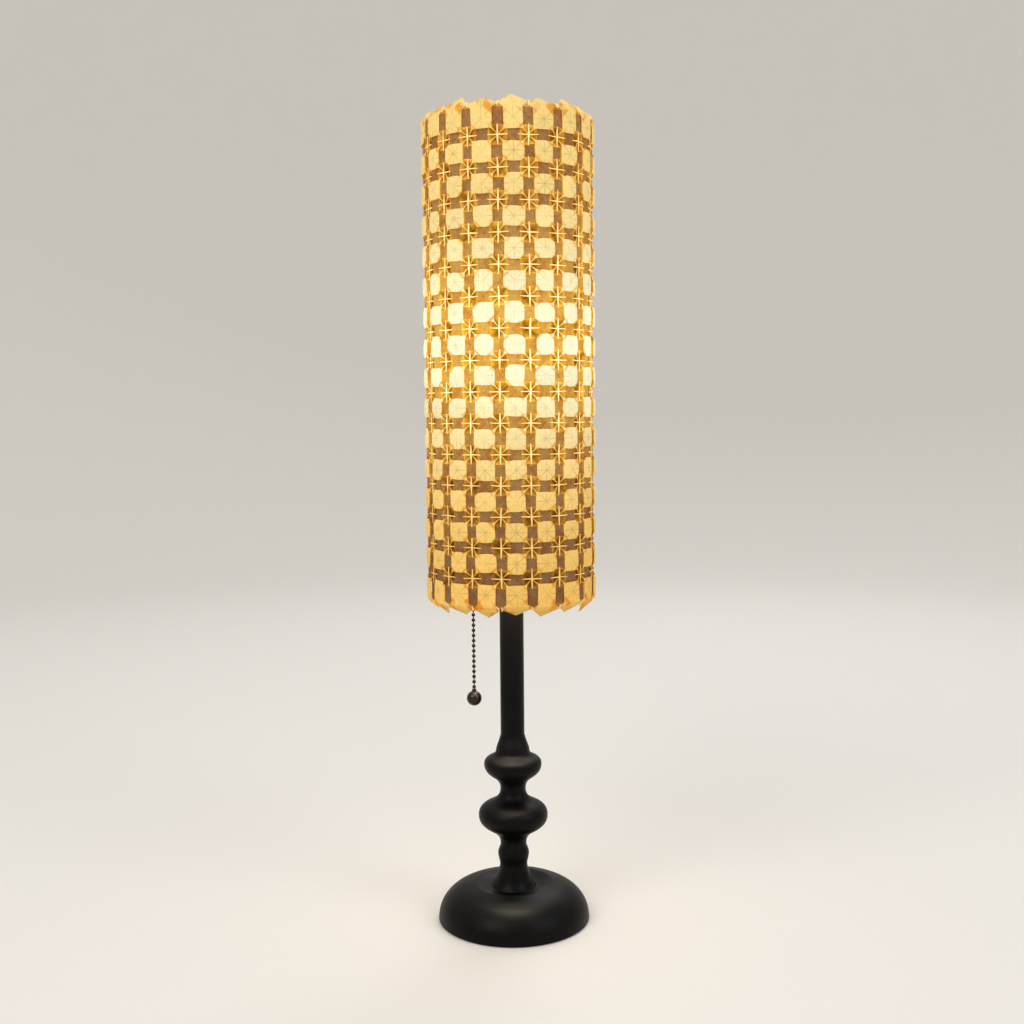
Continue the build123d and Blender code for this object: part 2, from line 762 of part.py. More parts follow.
# Arm that leads the chain out of the socket and turns it down through a bell mouth
arm_start = socket_radius - socket_wall - liner_wall - 2 * inner_clearance
with BuildPart() as chain_arm:
    with BuildSketch(Plane.YZ.offset(-arm_start)):
        with Locations((0, chain_arm_z)):
            Circle(arm_radius)
    extrude(amount=-(chain_reach - arm_start))
    with BuildSketch(Plane.YZ.offset(-socket_radius - inner_clearance)):
        with Locations((0, chain_arm_z)):
            Circle(arm_flange_radius)
    extrude(amount=-arm_flange_thickness)
    with Locations((-chain_reach, 0, chain_arm_z)):
        Sphere(arm_radius)
    with BuildSketch(Plane.XY.offset(bell_top_z)):
        with Locations((-chain_reach, 0)):
            Circle(arm_radius)
    extrude(amount=arm_drop)
    with BuildSketch(Plane.XY.offset(bell_top_z)):
        with Locations((-chain_reach, 0)):
            Circle(arm_radius)
    with BuildSketch(Plane.XY.offset(bell_z)):
        with Locations((-chain_reach, 0)):
            Circle(bell_radius)
    loft()
    with BuildSketch(Plane.YZ.offset(-arm_start)):
        with Locations((0, chain_arm_z)):
            Circle(arm_bore_radius)
    extrude(amount=-(chain_reach - arm_start), mode=Mode.SUBTRACT)
    with Locations((-chain_reach, 0, chain_arm_z)):
        Sphere(arm_bore_radius, mode=Mode.SUBTRACT)
    with BuildSketch(Plane.XY.offset(bell_top_z)):
        with Locations((-chain_reach, 0)):
            Circle(arm_bore_radius)
    extrude(amount=arm_drop, mode=Mode.SUBTRACT)
    with BuildSketch(Plane.XY.offset(bell_top_z)):
        with Locations((-chain_reach, 0)):
            Circle(arm_bore_radius)
    with BuildSketch(Plane.XY.offset(bell_z)):
        with Locations((-chain_reach, 0)):
            Circle(bell_radius - arm_wall)
    loft(mode=Mode.SUBTRACT)

# Beads inside the arm, from the top of the drum towards the elbow
inner_string = bead_string(arm_chain_beads)
with BuildPart() as arm_chain:
    with Locations(Location((-drum_offset, 0, chain_arm_z), (0, -90, 0))):
        add(inner_string)

upper_string = bead_string(socket_chain_beads)
with BuildPart() as socket_chain:
    with Locations((-chain_reach, 0, upper_pivot_z)):
        add(upper_string)

# Connector: a barrel with a cavity for the end bead of each chain
with BuildPart() as chain_connector:
    with BuildSketch(Plane.XY.offset(lower_pivot_z - connector_end)):
        with Locations((-chain_reach, 0)):
            Circle(connector_radius)
    extrude(amount=connector_spacing + 2 * connector_end)
    fillet(chain_connector.edges().filter_by(GeomType.CIRCLE), 0.6)
    with Locations((-chain_reach, 0, lower_pivot_z), (-chain_reach, 0, upper_pivot_z)):
        Sphere(connector_cavity_radius, mode=Mode.SUBTRACT)
    with BuildSketch(Plane.XY.offset(lower_pivot_z - connector_end)):
        with Locations((-chain_reach, 0)):
            Circle(connector_mouth_radius)
    extrude(amount=connector_end, mode=Mode.SUBTRACT)
    with BuildSketch(Plane.XY.offset(upper_pivot_z)):
        with Locations((-chain_reach, 0)):
            Circle(connector_mouth_radius)
    extrude(amount=connector_end, mode=Mode.SUBTRACT)

# Long chain below the connector, and its ball
lower_string = bead_string(extension_beads, end_wire=ball_wire)
chain_foot_z = last_bead_z - sqrt(bead_radius_chain**2 - (chain_wire / 2) ** 2) - ball_wire
with BuildPart() as extension_chain:
    with Locations((-chain_reach, 0, last_bead_z)):
        add(lower_string)

with BuildPart() as pull_ball:
    with Locations((-chain_reach, 0, ball_height)):
        Sphere(ball_radius)
    with BuildSketch(Plane.XY.offset(ball_height)):
        with Locations((-chain_reach, 0)):
            Circle(ball_collar_radius)
    extrude(amount=chain_foot_z - ball_height)

# Bulb: metal cap, glass, and the stem with its filament
with BuildPart() as bulb_cap:
    cone_top_z = bulb_z + bulb_cone_height
    with BuildSketch(Plane.XZ):
        with BuildLine():
            Polyline(
                (0, bulb_z),
                (bulb_tip_radius, bulb_z),
                (bulb_cap_radius - bulb_cap_wall, cone_top_z - 1),
                (bulb_cap_radius, cone_top_z),
                (bulb_cap_radius, bulb_neck_z),
                (bulb_cap_radius - bulb_cap_wall, bulb_neck_z),
                (bulb_cap_radius - bulb_cap_wall, cone_top_z),
                (bulb_tip_radius, bulb_z + bulb_cap_wall),
                (0, bulb_z + bulb_cap_wall),
                (0, bulb_z),
            )
        make_face()
    revolve(axis=Axis.Z)


def bulb_solid(inset):
    """The bulb's glass as a solid, drawn in from its outer surface by the inset."""
    globe = bulb_globe_radius - inset
    neck = bulb_cap_radius - inset
    joint = radians(-32)
    joint_point = (globe * cos(joint), globe_z + globe * sin(joint))
    side_point = (globe, globe_z)
    with BuildPart() as glass:
        with BuildSketch(Plane.XZ):
            with BuildLine():
                Spline(
                    (neck, bulb_neck_z),
                    joint_point,
                    tangents=[(0, 1), (-sin(joint), cos(joint))],
                )
                ThreePointArc(joint_point, side_point, (0, globe_z + globe))
                Polyline((0, globe_z + globe), (0, bulb_neck_z), (neck, bulb_neck_z))
            make_face()
        revolve(axis=Axis.Z)
    return glass.part


with BuildPart() as bulb_glass:
    add(bulb_solid(0))
    add(bulb_solid(bulb_glass_wall), mode=Mode.SUBTRACT)

with BuildPart() as bulb_stem:
    with BuildSketch(Plane.XY.offset(bulb_neck_z)):
        Circle(bulb_cap_radius - bulb_glass_wall)
    extrude(amount=bulb_press_height)
    with BuildSketch(Plane.XY.offset(bulb_neck_z)):
        Circle(bulb_stem_radius)
    extrude(amount=bulb_stem_length, taper=2)

with BuildPart() as bulb_filament:
    filament_z = bulb_neck_z + bulb_stem_length + filament_gap
    with BuildLine(Plane.XZ):
        FilletPolyline(
            (-filament_foot, filament_z),
            (-filament_half_width, filament_z + filament_height),
            (filament_half_width, filament_z + filament_height),
            (filament_foot, filament_z),
            radius=filament_bend,
        )
    with BuildSketch(Plane.XY.offset(filament_z)):
        with Locations((-filament_foot, 0)):
            Circle(filament_wire_radius)
    sweep()

# Shade frame: top ring with three arms and a washer, bottom ring, and a translucent liner
with BuildPart() as spider_arm:
    arm_z = spider_washer_z + spider_washer_thickness / 2
    with BuildLine(Plane.XZ):
        FilletPolyline(
            (spider_washer_radius - 2, arm_z),
            (spider_flat_length, arm_z),
            (ring_radius, top_ring_z),
            radius=spider_bend_radius,
        )
    with BuildSketch(Plane.YZ.offset(spider_washer_radius - 2)):
        with Locations((0, arm_z)):
            Circle(spider_arm_radius)
    sweep()

with BuildPart() as shade_spider:
    with BuildSketch(Plane.XY.offset(spider_washer_z)):
        Circle(spider_washer_radius)
    extrude(amount=spider_washer_thickness)
    with PolarLocations(0, spider_arms, start_angle=90):
        add(spider_arm.part)
    with Locations((0, 0, top_ring_z)):
        Torus(ring_radius, ring_wire_radius)
    with BuildSketch(Plane.XY.offset(spider_washer_z - 5)):
        Circle(stud_radius + turning_clearance)
    extrude(amount=10, mode=Mode.SUBTRACT)
    with BuildSketch(Plane.XY.offset(spider_washer_z)):
        Circle(ring_radius / 2)
    extrude(amount=-5, mode=Mode.SUBTRACT)

with BuildPart() as shade_bottom_ring:
    with Locations((0, 0, bottom_ring_z)):
        Torus(ring_radius, ring_wire_radius)

with BuildPart() as shade_liner:
    with BuildSketch(Plane.XY.offset(shade_bottom_z + liner_end_inset)):
        Circle(shade_liner_radius)
        Circle(shade_liner_bore, mode=Mode.SUBTRACT)
    extrude(amount=shade_top_z - shade_bottom_z - 2 * liner_end_inset)

with BuildPart() as finial:
    finial_ball_z = finial_z + finial_height - finial_radius
    with BuildSketch(Plane.XZ):
        with BuildLine():
            Polyline(
                (0, finial_z),
                (finial_foot_radius, finial_z),
                (finial_foot_radius, finial_z + finial_foot_height),
                (finial_neck_radius, finial_z + finial_neck_start),
                (finial_neck_radius, finial_ball_z),
                (0, finial_ball_z),
                (0, finial_z),
            )
        make_face()
    revolve(axis=Axis.Z)
    with Locations((0, 0, finial_ball_z)):
        Sphere(finial_radius)
    with BuildSketch(Plane.XY.offset(finial_z)):
        Circle(stud_radius + turning_clearance)
    extrude(amount=stud_length - spider_washer_thickness - turning_gap, mode=Mode.SUBTRACT)

# Folded paper module. Its own axes: x to the side, y out of the shade and z up, from the middle
# of the panel. A cell is one panel, half of each brown square round it and a quarter of each
# pocket at its corners. The cell's upright edges lie in the planes between the columns.
half_angle = radians(column_angle / 2)
cell_half_height = row_pitch / 2 - module_gap / 2


def edge_x(y):
    """How far to the side the cell reaches, at a height above the panel's plane."""
    return (facet_apothem + y) * tan(half_angle) - module_gap / 2 / cos(half_angle)


def turned(points, side, end):
    """The same points for the quarter of the cell on that side and at that end."""
    return [(side * x, y, end * z) for x, y, z in points]


# The stripe between two columns folds back from the panel's plane
stripe_edge_y = stripe_apothem * cos(half_angle) - facet_apothem
pocket_y = (stripe_apothem - pocket_depth) * cos(half_angle) - facet_apothem
panel_corner_side = (panel_half_width, 0, panel_side_half)
panel_corner_end = (panel_end_half, 0, panel_half_height)
stripe_corner = (edge_x(stripe_edge_y), stripe_edge_y, panel_side_half)
band_corner = (panel_end_half, 0, cell_half_height)
pocket_apex = (edge_x(pocket_y), pocket_y, cell_half_height)


def module_faces(closed_top, closed_bottom):
    """The outer faces of a cell, each a list of points. An end with no neighbour has a free tip."""
    faces = []
    ends = [(1, closed_top), (-1, closed_bottom)]
    panel = []
    for end, closed in ends:
        for side in (1, -1) if end > 0 else (-1, 1):
            outer = turned([panel_corner_side], side, end)[0]
            inner = turned([panel_corner_end], side, end)[0]
            free = turned([(panel_half_width, 0, free_edge_height)], side, end)[0]
            corner = [outer, inner] if closed else [free]
            panel += corner if (side > 0) == (end > 0) else corner[::-1]
    faces.append(panel)
    for side in (1, -1):
        upper = panel_side_half if closed_top else free_edge_height
        lower = panel_side_half if closed_bottom else free_edge_height
        faces.append(
            [
                (side * panel_half_width, 0, upper),
                (side * edge_x(stripe_edge_y), stripe_edge_y, upper),
                (side * edge_x(stripe_edge_y), stripe_edge_y, -lower),
                (side * panel_half_width, 0, -lower),
            ]
        )
    for end, closed in ends:
        if closed:
            left, right = [turned([panel_corner_end, band_corner], side, end) for side in (-1, 1)]
            faces.append([left[0], left[1], right[1], right[0]])
            for side in (1, -1):
                faces.append(turned([panel_corner_side, panel_corner_end, pocket_apex], side, end))
                faces.append(turned([panel_corner_side, stripe_corner, pocket_apex], side, end))
                faces.append(turned([panel_corner_end, band_corner, pocket_apex], side, end))
        else:
            fold = [
                (-edge_x(stripe_edge_y), stripe_edge_y, end * free_edge_height),
                (-panel_half_width, 0, end * free_edge_height),
                (panel_half_width, 0, end * free_edge_height),
                (edge_x(stripe_edge_y), stripe_edge_y, end * free_edge_height),
            ]
            lean = row_pitch / 2 * sin(pi / 4)
            tip = (0, -lean, end * (free_edge_height + lean))
            for first, second in zip(fold, fold[1:]):
                faces.append([first, second, tip])
    return faces


def set_back(point):
    """The same point on the back of the sheet. A point on an upright edge stays in its plane."""
    x, y, z = point
    on_edge = abs(abs(x) - edge_x(y)) < 1e-6
    back_x = edge_x(y - sheet_thickness) if on_edge else abs(x)
    return (back_x if x > 0 else -back_x, y - sheet_thickness, z)


def flat_face(points):
    """A flat face with these corners."""
    return Face(Wire.make_polygon([Vector(point) for point in points]))


def folded_sheet(faces):
    """A closed solid between the outer faces and their copies on the back of the sheet."""
    walls = []
    uses = {}
    for face in faces:
        for start, stop in zip(face, face[1:] + face[:1]):
            key = frozenset([start, stop])
            uses[key] = uses.get(key, 0) + 1
            if uses[key] == 1:
                walls.append((start, stop, key))
    shell = [flat_face(face) for face in faces]
    shell += [flat_face([set_back(point) for point in face]) for face in faces]
    for start, stop, key in walls:
        if uses[key] == 1:
            below_start, below_stop = set_back(start), set_back(stop)
            shell.append(flat_face([start, stop, below_stop]))
            shell.append(flat_face([start, below_stop, below_start]))
    return Solid(Shell(shell)).clean()


def folded_module(closed_top=True, closed_bottom=True):
    """One paper module: the folded sheet, with half of each raised fin on its inner corners."""
    sheet = folded_sheet(module_faces(closed_top, closed_bottom))
    arm_reach = cell_half_height - panel_side_half
    with BuildPart() as module:
        add(sheet)
        for end, closed in ((1, closed_top), (-1, closed_bottom)):
            if not closed:
                continue
            for side in (1, -1):
                across = Vector(side * cos(half_angle), -sin(half_angle), 0)
                outward = Vector(side * sin(half_angle), cos(half_angle), 0)
                top = end * cell_half_height
                origin = Vector(side * edge_x(stripe_edge_y), stripe_edge_y, top)
                upright = Plane(origin=origin, x_dir=(0, 0, -end), z_dir=across * end * side)
                rise = 1 if upright.y_dir.dot(outward) > 0 else -1
                with BuildSketch(upright):
                    with BuildLine():
                        Polyline(
                            (0, rise * (-pocket_depth - fin_root)),
                            (0, rise * fin_rise_middle),
                            (arm_reach, rise * fin_rise_end),
                            (arm_reach, rise * -fin_end_depth),
                            (0, rise * (-pocket_depth - fin_root)),
                        )
                    make_face()
                extrude(amount=-fin_width_upright * end * side)
                with BuildSketch(Plane.XY.offset(top)):
                    with BuildLine():
                        Polyline(
                            (side * edge_x(pocket_y - fin_root), pocket_y - fin_root),
                            (side * edge_x(stripe_edge_y), stripe_edge_y + fin_rise_middle),
                            (side * panel_half_width, fin_rise_end + fin_root),
                            (side * panel_end_half, fin_rise_end),
                            (side * panel_end_half, -fin_end_depth),
                            (side * edge_x(pocket_y - fin_root), pocket_y - fin_root),
                        )
                    make_face()
                extrude(amount=-end * fin_width_level)
    return module.part


def paper_row(module, centre_z):
    """A ring of separate modules round the shade, at one height."""
    facing = -90 + first_column_angle
    ring = []
    for i in range(columns_round):
        place = Location((0, 0, centre_z), (0, 0, facing + i * column_angle - 90))
        ring.append(module.moved(place * Location((0, facet_apothem, 0))))
    return Compound(children=ring)


top_module = folded_module(closed_top=False)
middle_module = folded_module()
bottom_module = folded_module(closed_bottom=False)

named_parts = {
    "base_dome": base_dome,
    "base_weight": base_weight,
    "bottom_cover": bottom_cover,
    "felt_pad": felt_pad,
    "lock_washer": lock_washer,
    "bottom_nut": bottom_nut,
    "threaded_rod": threaded_rod,
    "cord_bushing": cord_bushing,
    "column": column,
    "stem_tube": stem_tube,
    "tube_cap": tube_cap,
    "harp_saddle": harp_saddle,
    "saddle_nut": saddle_nut,
    "harp": harp,
    "harp_stud": harp_stud,
    "sleeve_front": sleeve_front,
    "sleeve_rear": sleeve_rear,
    "socket_cap": socket_cap,
    "socket_shell": socket_shell,
    "socket_liner": socket_liner,
    "socket_body": socket_body,
    "screw_shell": screw_shell,
    "centre_contact": centre_contact,
    "terminal_screws": terminal_screws,
    "chain_arm": chain_arm,
    "drum_pin": drum_pin,
    "switch_drum": switch_drum,
    "arm_chain": arm_chain,
    "socket_chain": socket_chain,
    "chain_connector": chain_connector,
    "extension_chain": extension_chain,
    "pull_ball": pull_ball,
    "bulb_cap": bulb_cap,
    "bulb_glass": bulb_glass,
    "bulb_stem": bulb_stem,
    "bulb_filament": bulb_filament,
    "shade_spider": shade_spider,
    "shade_bottom_ring": shade_bottom_ring,
    "shade_liner": shade_liner,
    "finial": finial,
}
for name, made in named_parts.items():
    made.part.label = name
    export_step(made.part, f"parts/{name}.step")

for row in range(rows_high):
    module = middle_module
    if row == 0:
        module = top_module
    if row == rows_high - 1:
        module = bottom_module
    ring = paper_row(module, top_row_centre - row * row_pitch)
    ring.label = f"paper_row_{row + 1:02d}"
    export_step(ring, f"parts/{ring.label}.step")
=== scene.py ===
import math
import random
from functools import partial

import bpy
from mathutils import Matrix, Vector


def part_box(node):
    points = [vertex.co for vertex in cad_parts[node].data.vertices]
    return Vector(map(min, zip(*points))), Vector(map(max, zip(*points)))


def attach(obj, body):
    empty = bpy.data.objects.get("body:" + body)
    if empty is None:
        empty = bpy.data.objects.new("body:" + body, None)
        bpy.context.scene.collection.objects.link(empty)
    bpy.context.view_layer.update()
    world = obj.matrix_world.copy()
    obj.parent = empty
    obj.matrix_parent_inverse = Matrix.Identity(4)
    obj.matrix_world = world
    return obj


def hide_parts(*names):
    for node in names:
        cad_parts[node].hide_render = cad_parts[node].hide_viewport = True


# Finishes, folded paper and studio of a table lamp with a tall shade of interlocked paper modules.
# Metres, in the frame of the CAD model: +Z is up, the front faces -Y and the pull chain is on -X.

bl_info = {
    "name": "Folded paper lamp",
    "version": (1, 0, 0),
    "blender": (4, 5, 0),
    "location": "View3D > Sidebar > Lamp",
    "description": "Dresses a pull-chain table lamp and folds the paper modules of its shade",
    "category": "Object",
}

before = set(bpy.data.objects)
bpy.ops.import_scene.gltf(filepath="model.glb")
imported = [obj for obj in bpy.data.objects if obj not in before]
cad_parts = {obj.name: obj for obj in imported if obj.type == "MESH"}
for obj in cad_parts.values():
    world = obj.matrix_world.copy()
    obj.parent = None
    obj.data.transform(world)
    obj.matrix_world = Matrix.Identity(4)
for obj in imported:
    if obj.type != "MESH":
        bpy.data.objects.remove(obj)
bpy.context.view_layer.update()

MM = 0.001


def middle_height(node):
    """The height of a CAD node's middle."""
    low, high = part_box(node)
    return (low.z + high.z) / 2


# The first and last rows have free tips, so the pitch comes from the whole rows between them
ROW_NODES = sorted(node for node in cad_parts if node.startswith("paper_row_"))
LAST_ROW = len(ROW_NODES) - 1
SECOND_ROW_Z = middle_height(ROW_NODES[1])
ROW_PITCH = (SECOND_ROW_Z - middle_height(ROW_NODES[-2])) / (LAST_ROW - 2)
TOP_ROW_Z = SECOND_ROW_Z + ROW_PITCH

BULB_LOW, BULB_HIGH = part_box("bulb_glass")
BULB_MIDDLE_Z = BULB_HIGH.z - (BULB_HIGH.x - BULB_LOW.x) / 2

# The light in the shade's mouth stands this far inside the bottom ring
MOUTH_INSET = 12 * MM
SHADE_MOUTH_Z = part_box("shade_bottom_ring")[0].z + MOUTH_INSET


def linear(hex_colour):
    """The linear RGB colour of an sRGB hex value."""
    parts = [int(hex_colour[i : i + 2], 16) / 255 for i in (0, 2, 4)]
    return tuple(p / 12.92 if p <= 0.04045 else ((p + 0.055) / 1.055) ** 2.4 for p in parts)


def opaque(hex_colour):
    """The linear colour of an sRGB hex value with its alpha, as a colour socket takes it."""
    return (*linear(hex_colour), 1.0)


def length(name, description, size):
    """A length property whose default is given in millimetres."""
    return bpy.props.FloatProperty(
        name=name, description=description, default=size * MM, subtype="DISTANCE", unit="LENGTH"
    )


def angle(name, description, size):
    """An angle property whose default is given in radians."""
    return bpy.props.FloatProperty(
        name=name, description=description, default=size, subtype="ANGLE", unit="ROTATION"
    )


def factor(name, description, size):
    """A property without a unit."""
    return bpy.props.FloatProperty(
        name=name, description=description, default=size, subtype="FACTOR", unit="NONE"
    )


def colour(name, description, hex_colour):
    """A colour property whose default is an sRGB hex value."""
    return bpy.props.FloatVectorProperty(
        name=name, description=description, default=linear(hex_colour), subtype="COLOR"
    )


class LampShadeSettings(bpy.types.PropertyGroup):
    """Sizes of the folded paper shade."""

    columns: bpy.props.IntProperty(name="Columns", description="Modules round the shade", default=18)
    first_column: angle(
        "First column", "Turn of the front column of modules from straight ahead", math.radians(4.4)
    )
    fold_radius: length("Fold radius", "From the lamp's axis to the panels' side edges", 70.35)
    panel_half_width: length("Panel half width", "Half the width of a cream panel", 7.75)
    panel_half_height: length("Panel half height", "Half the height of a cream panel", 7.6)
    corner_cut: length("Corner cut", "How much of each panel corner is folded under", 2.8)
    edge_bow: length("Edge bow", "How far a panel's edge bows outwards", 0.25)
    pillow: length("Pillow", "How far a panel's middle stands proud of its rim", 1.0)
    panel_rise: length("Panel rise", "How far the brown squares lie below the panels' plane", 1.65)
    pocket_depth: length("Pocket depth", "From the panels' plane to the bottom of a pocket", 6.0)
    upright_fin: length("Upright fin", "Width of the cross's upright arms", 1.35)
    level_fin: length("Level fin", "Width of the cross's level arms", 0.95)
    fin_drop: length("Fin drop", "How far the middle of a cross lies below the panels' plane", 1.3)
    flare_height: length("Flare height", "Where a free edge flares, above the panel's middle", 8.3)
    notch_height: length("Notch height", "Height of the notch between two tips", 12.0)
    tip_height: length("Tip height", "From the notches to a tip's apex, along the paper", 10.7)
    weave: factor("Weave", "How much wider and lower than square every second panel is woven", 0.06)
    unevenness: factor("Unevenness", "How much the modules differ, where 1 is as folded by hand", 1.0)


class LampFinishSettings(bpy.types.PropertyGroup):
    """Colours of the lamp's finishes."""

    panel: colour("Panel", "Outer face of the folded paper", "D6BE82")
    square: colour("Square", "Inner face of the paper, between the panels", "7A5B3C")
    pocket: colour("Pocket", "Paper inside the pockets", "B08638")
    strip: colour("Strip", "Folded corners that run down into the pockets", "D09E42")
    cross: colour("Cross", "Folded edges that stand up as crosses", "E2CD98")
    paint: colour("Paint", "Enamel on the base, column and tube", "070606")
    bronze: colour("Bronze", "Plating on the chain and socket", "30261F")
    brass: colour("Brass", "Plating on the harp", "8C7142")


class LampGlowSettings(bpy.types.PropertyGroup):
    """Light of the bulb in the paper."""

    bulb_height: length("Bulb height", "Height of the bulb's middle", BULB_MIDDLE_Z / MM)
    strength: factor("Strength", "Brightness of the glow in the paper", 1.0)


class LampStudioSettings(bpy.types.PropertyGroup):
    """Floor and camera."""

    floor: colour("Floor", "Colour of the floor and its sweep", "E6E3DE")
    floor_radius: length("Floor radius", "From the lamp to where the floor curves up", 2200)
    sweep_radius: length("Sweep radius", "Radius of the curve between floor and wall", 1500)
    wall_height: length("Wall height", "Height of the wall above the floor", 2500)
    camera_side: length("Camera side", "How far right of the lamp the camera stands", 12.0)
    camera_distance: length("Camera distance", "From the camera to the lamp's axis", 1031.5)
    camera_height: length("Camera height", "Height of the camera", 429.35)
    camera_focal: bpy.props.FloatProperty(
        name="Camera focal length",
        description="Focal length on a 36 mm sensor",
        default=43.69,
        subtype="DISTANCE_CAMERA",
        unit="CAMERA",
    )
    camera_yaw: angle("Camera yaw", "Turn of the camera to the right", -0.0105)
    camera_pitch: angle("Camera pitch", "How far the camera looks down", 0.0799)
    camera_roll: angle("Camera roll", "Tilt of the camera about its line of sight", -0.0088)


def set_inputs(node, inputs):
    """Sets a node's inputs, given by order in a list or by name in a dictionary.

    An input gets a value, or a link from the socket or from the first output of the node given.
    """
    entries = inputs.items() if isinstance(inputs, dict) else enumerate(inputs)
    for key, value in entries:
        if isinstance(value, bpy.types.Node):
            value = next(socket for socket in value.outputs if socket.enabled)
        if isinstance(value, bpy.types.NodeSocket):
            node.id_data.links.new(value, node.inputs[key])
        else:
            node.inputs[key].default_value = value


def add_node(tree, kind, inputs=(), **settings):
    """Adds a shader node with its settings and inputs."""
    node = tree.nodes.new("ShaderNode" + kind)
    for name, value in settings.items():
        setattr(node, name, value)
    set_inputs(node, inputs)
    return node


def new_material(name):
    """A material with nodes, its Principled shader, and add_node for its tree."""
    material = bpy.data.materials.new(name)
    material.use_nodes = True
    tree = material.node_tree
    return material, tree.nodes["Principled BSDF"], partial(add_node, tree)


# Nearly all of a noise texture lies in this range. A MapRange node's inputs are its value, the range
# that this comes from and the range that it goes to.
NOISE_RANGE = (0.3, 0.7)

# The socket keeps the shade's foot in shadow, from this far below the bulb's middle
SOCKET_SHADOW = 40 * MM

# From the sum of two offsets to the distance from a slanting line
SLANT = 0.707


def bulb_nearness(add, height, spread):
    """How near the bulb a height is, as a bell curve: 1 beside it, and 0 far along the shade."""
    away = add("Math", [height, bpy.context.scene.lamp_glow.bulb_height], operation="SUBTRACT")
    share = add("Math", [away, spread], operation="DIVIDE")
    squared = add("Math", [share, 2.0], operation="POWER")
    minus = add("Math", [squared, -1.0], operation="MULTIPLY")
    return add("Math", [minus], operation="EXPONENT")


def pulp_and_fibres(add, place, mottle):
    """How much light the paper's pulp lets through, and its fibres by themselves.

    Clouds of thicker pulp are about 3 mm across, and single fibres 0.3 mm wide and 2 mm long.
    """
    clouds = add(
        "TexNoise", {"Vector": place, "Scale": 1 / (2.2 * MM), "Detail": 2.0, "Roughness": 0.6}
    )
    stretched = add("Mapping", {"Vector": place, "Rotation": (0.5, 0.7, 0.3), "Scale": (1.0, 0.35, 0.2)})
    fibres = add(
        "TexNoise", {"Vector": stretched, "Scale": 1 / (0.55 * MM), "Detail": 2.0, "Distortion": 1.2}
    )
    pulp = add("MapRange", [clouds, *NOISE_RANGE, 1 - mottle, 1 + 0.6 * mottle])
    hair = add("MapRange", [fibres, *NOISE_RANGE, 0.93, 1.05])
    return add("Math", [pulp, hair], operation="MULTIPLY"), fibres


def fold_marks(add, across, along, star):
    """Folded lines 0.5 mm wide, through a face's corners and, in a star, also its edges' middles."""
    lines = []
    for turn in (1, -1):
        slant = add("Math", [along, turn, across], operation="MULTIPLY_ADD")
        size = add("Math", [slant], operation="ABSOLUTE")
        lines.append(add("Math", [size, SLANT], operation="MULTIPLY"))
    if star:
        lines += [add("Math", [side], operation="ABSOLUTE") for side in (across, along)]
    nearest = lines[0]
    for line in lines[1:]:
        nearest = add("Math", [nearest, line], operation="MINIMUM")
    # Where this is 1, glowing_paper paints a crease as a thin line of shade
    return add("MapRange", [nearest, 0.1, 0.45, 1.0, 0.0])


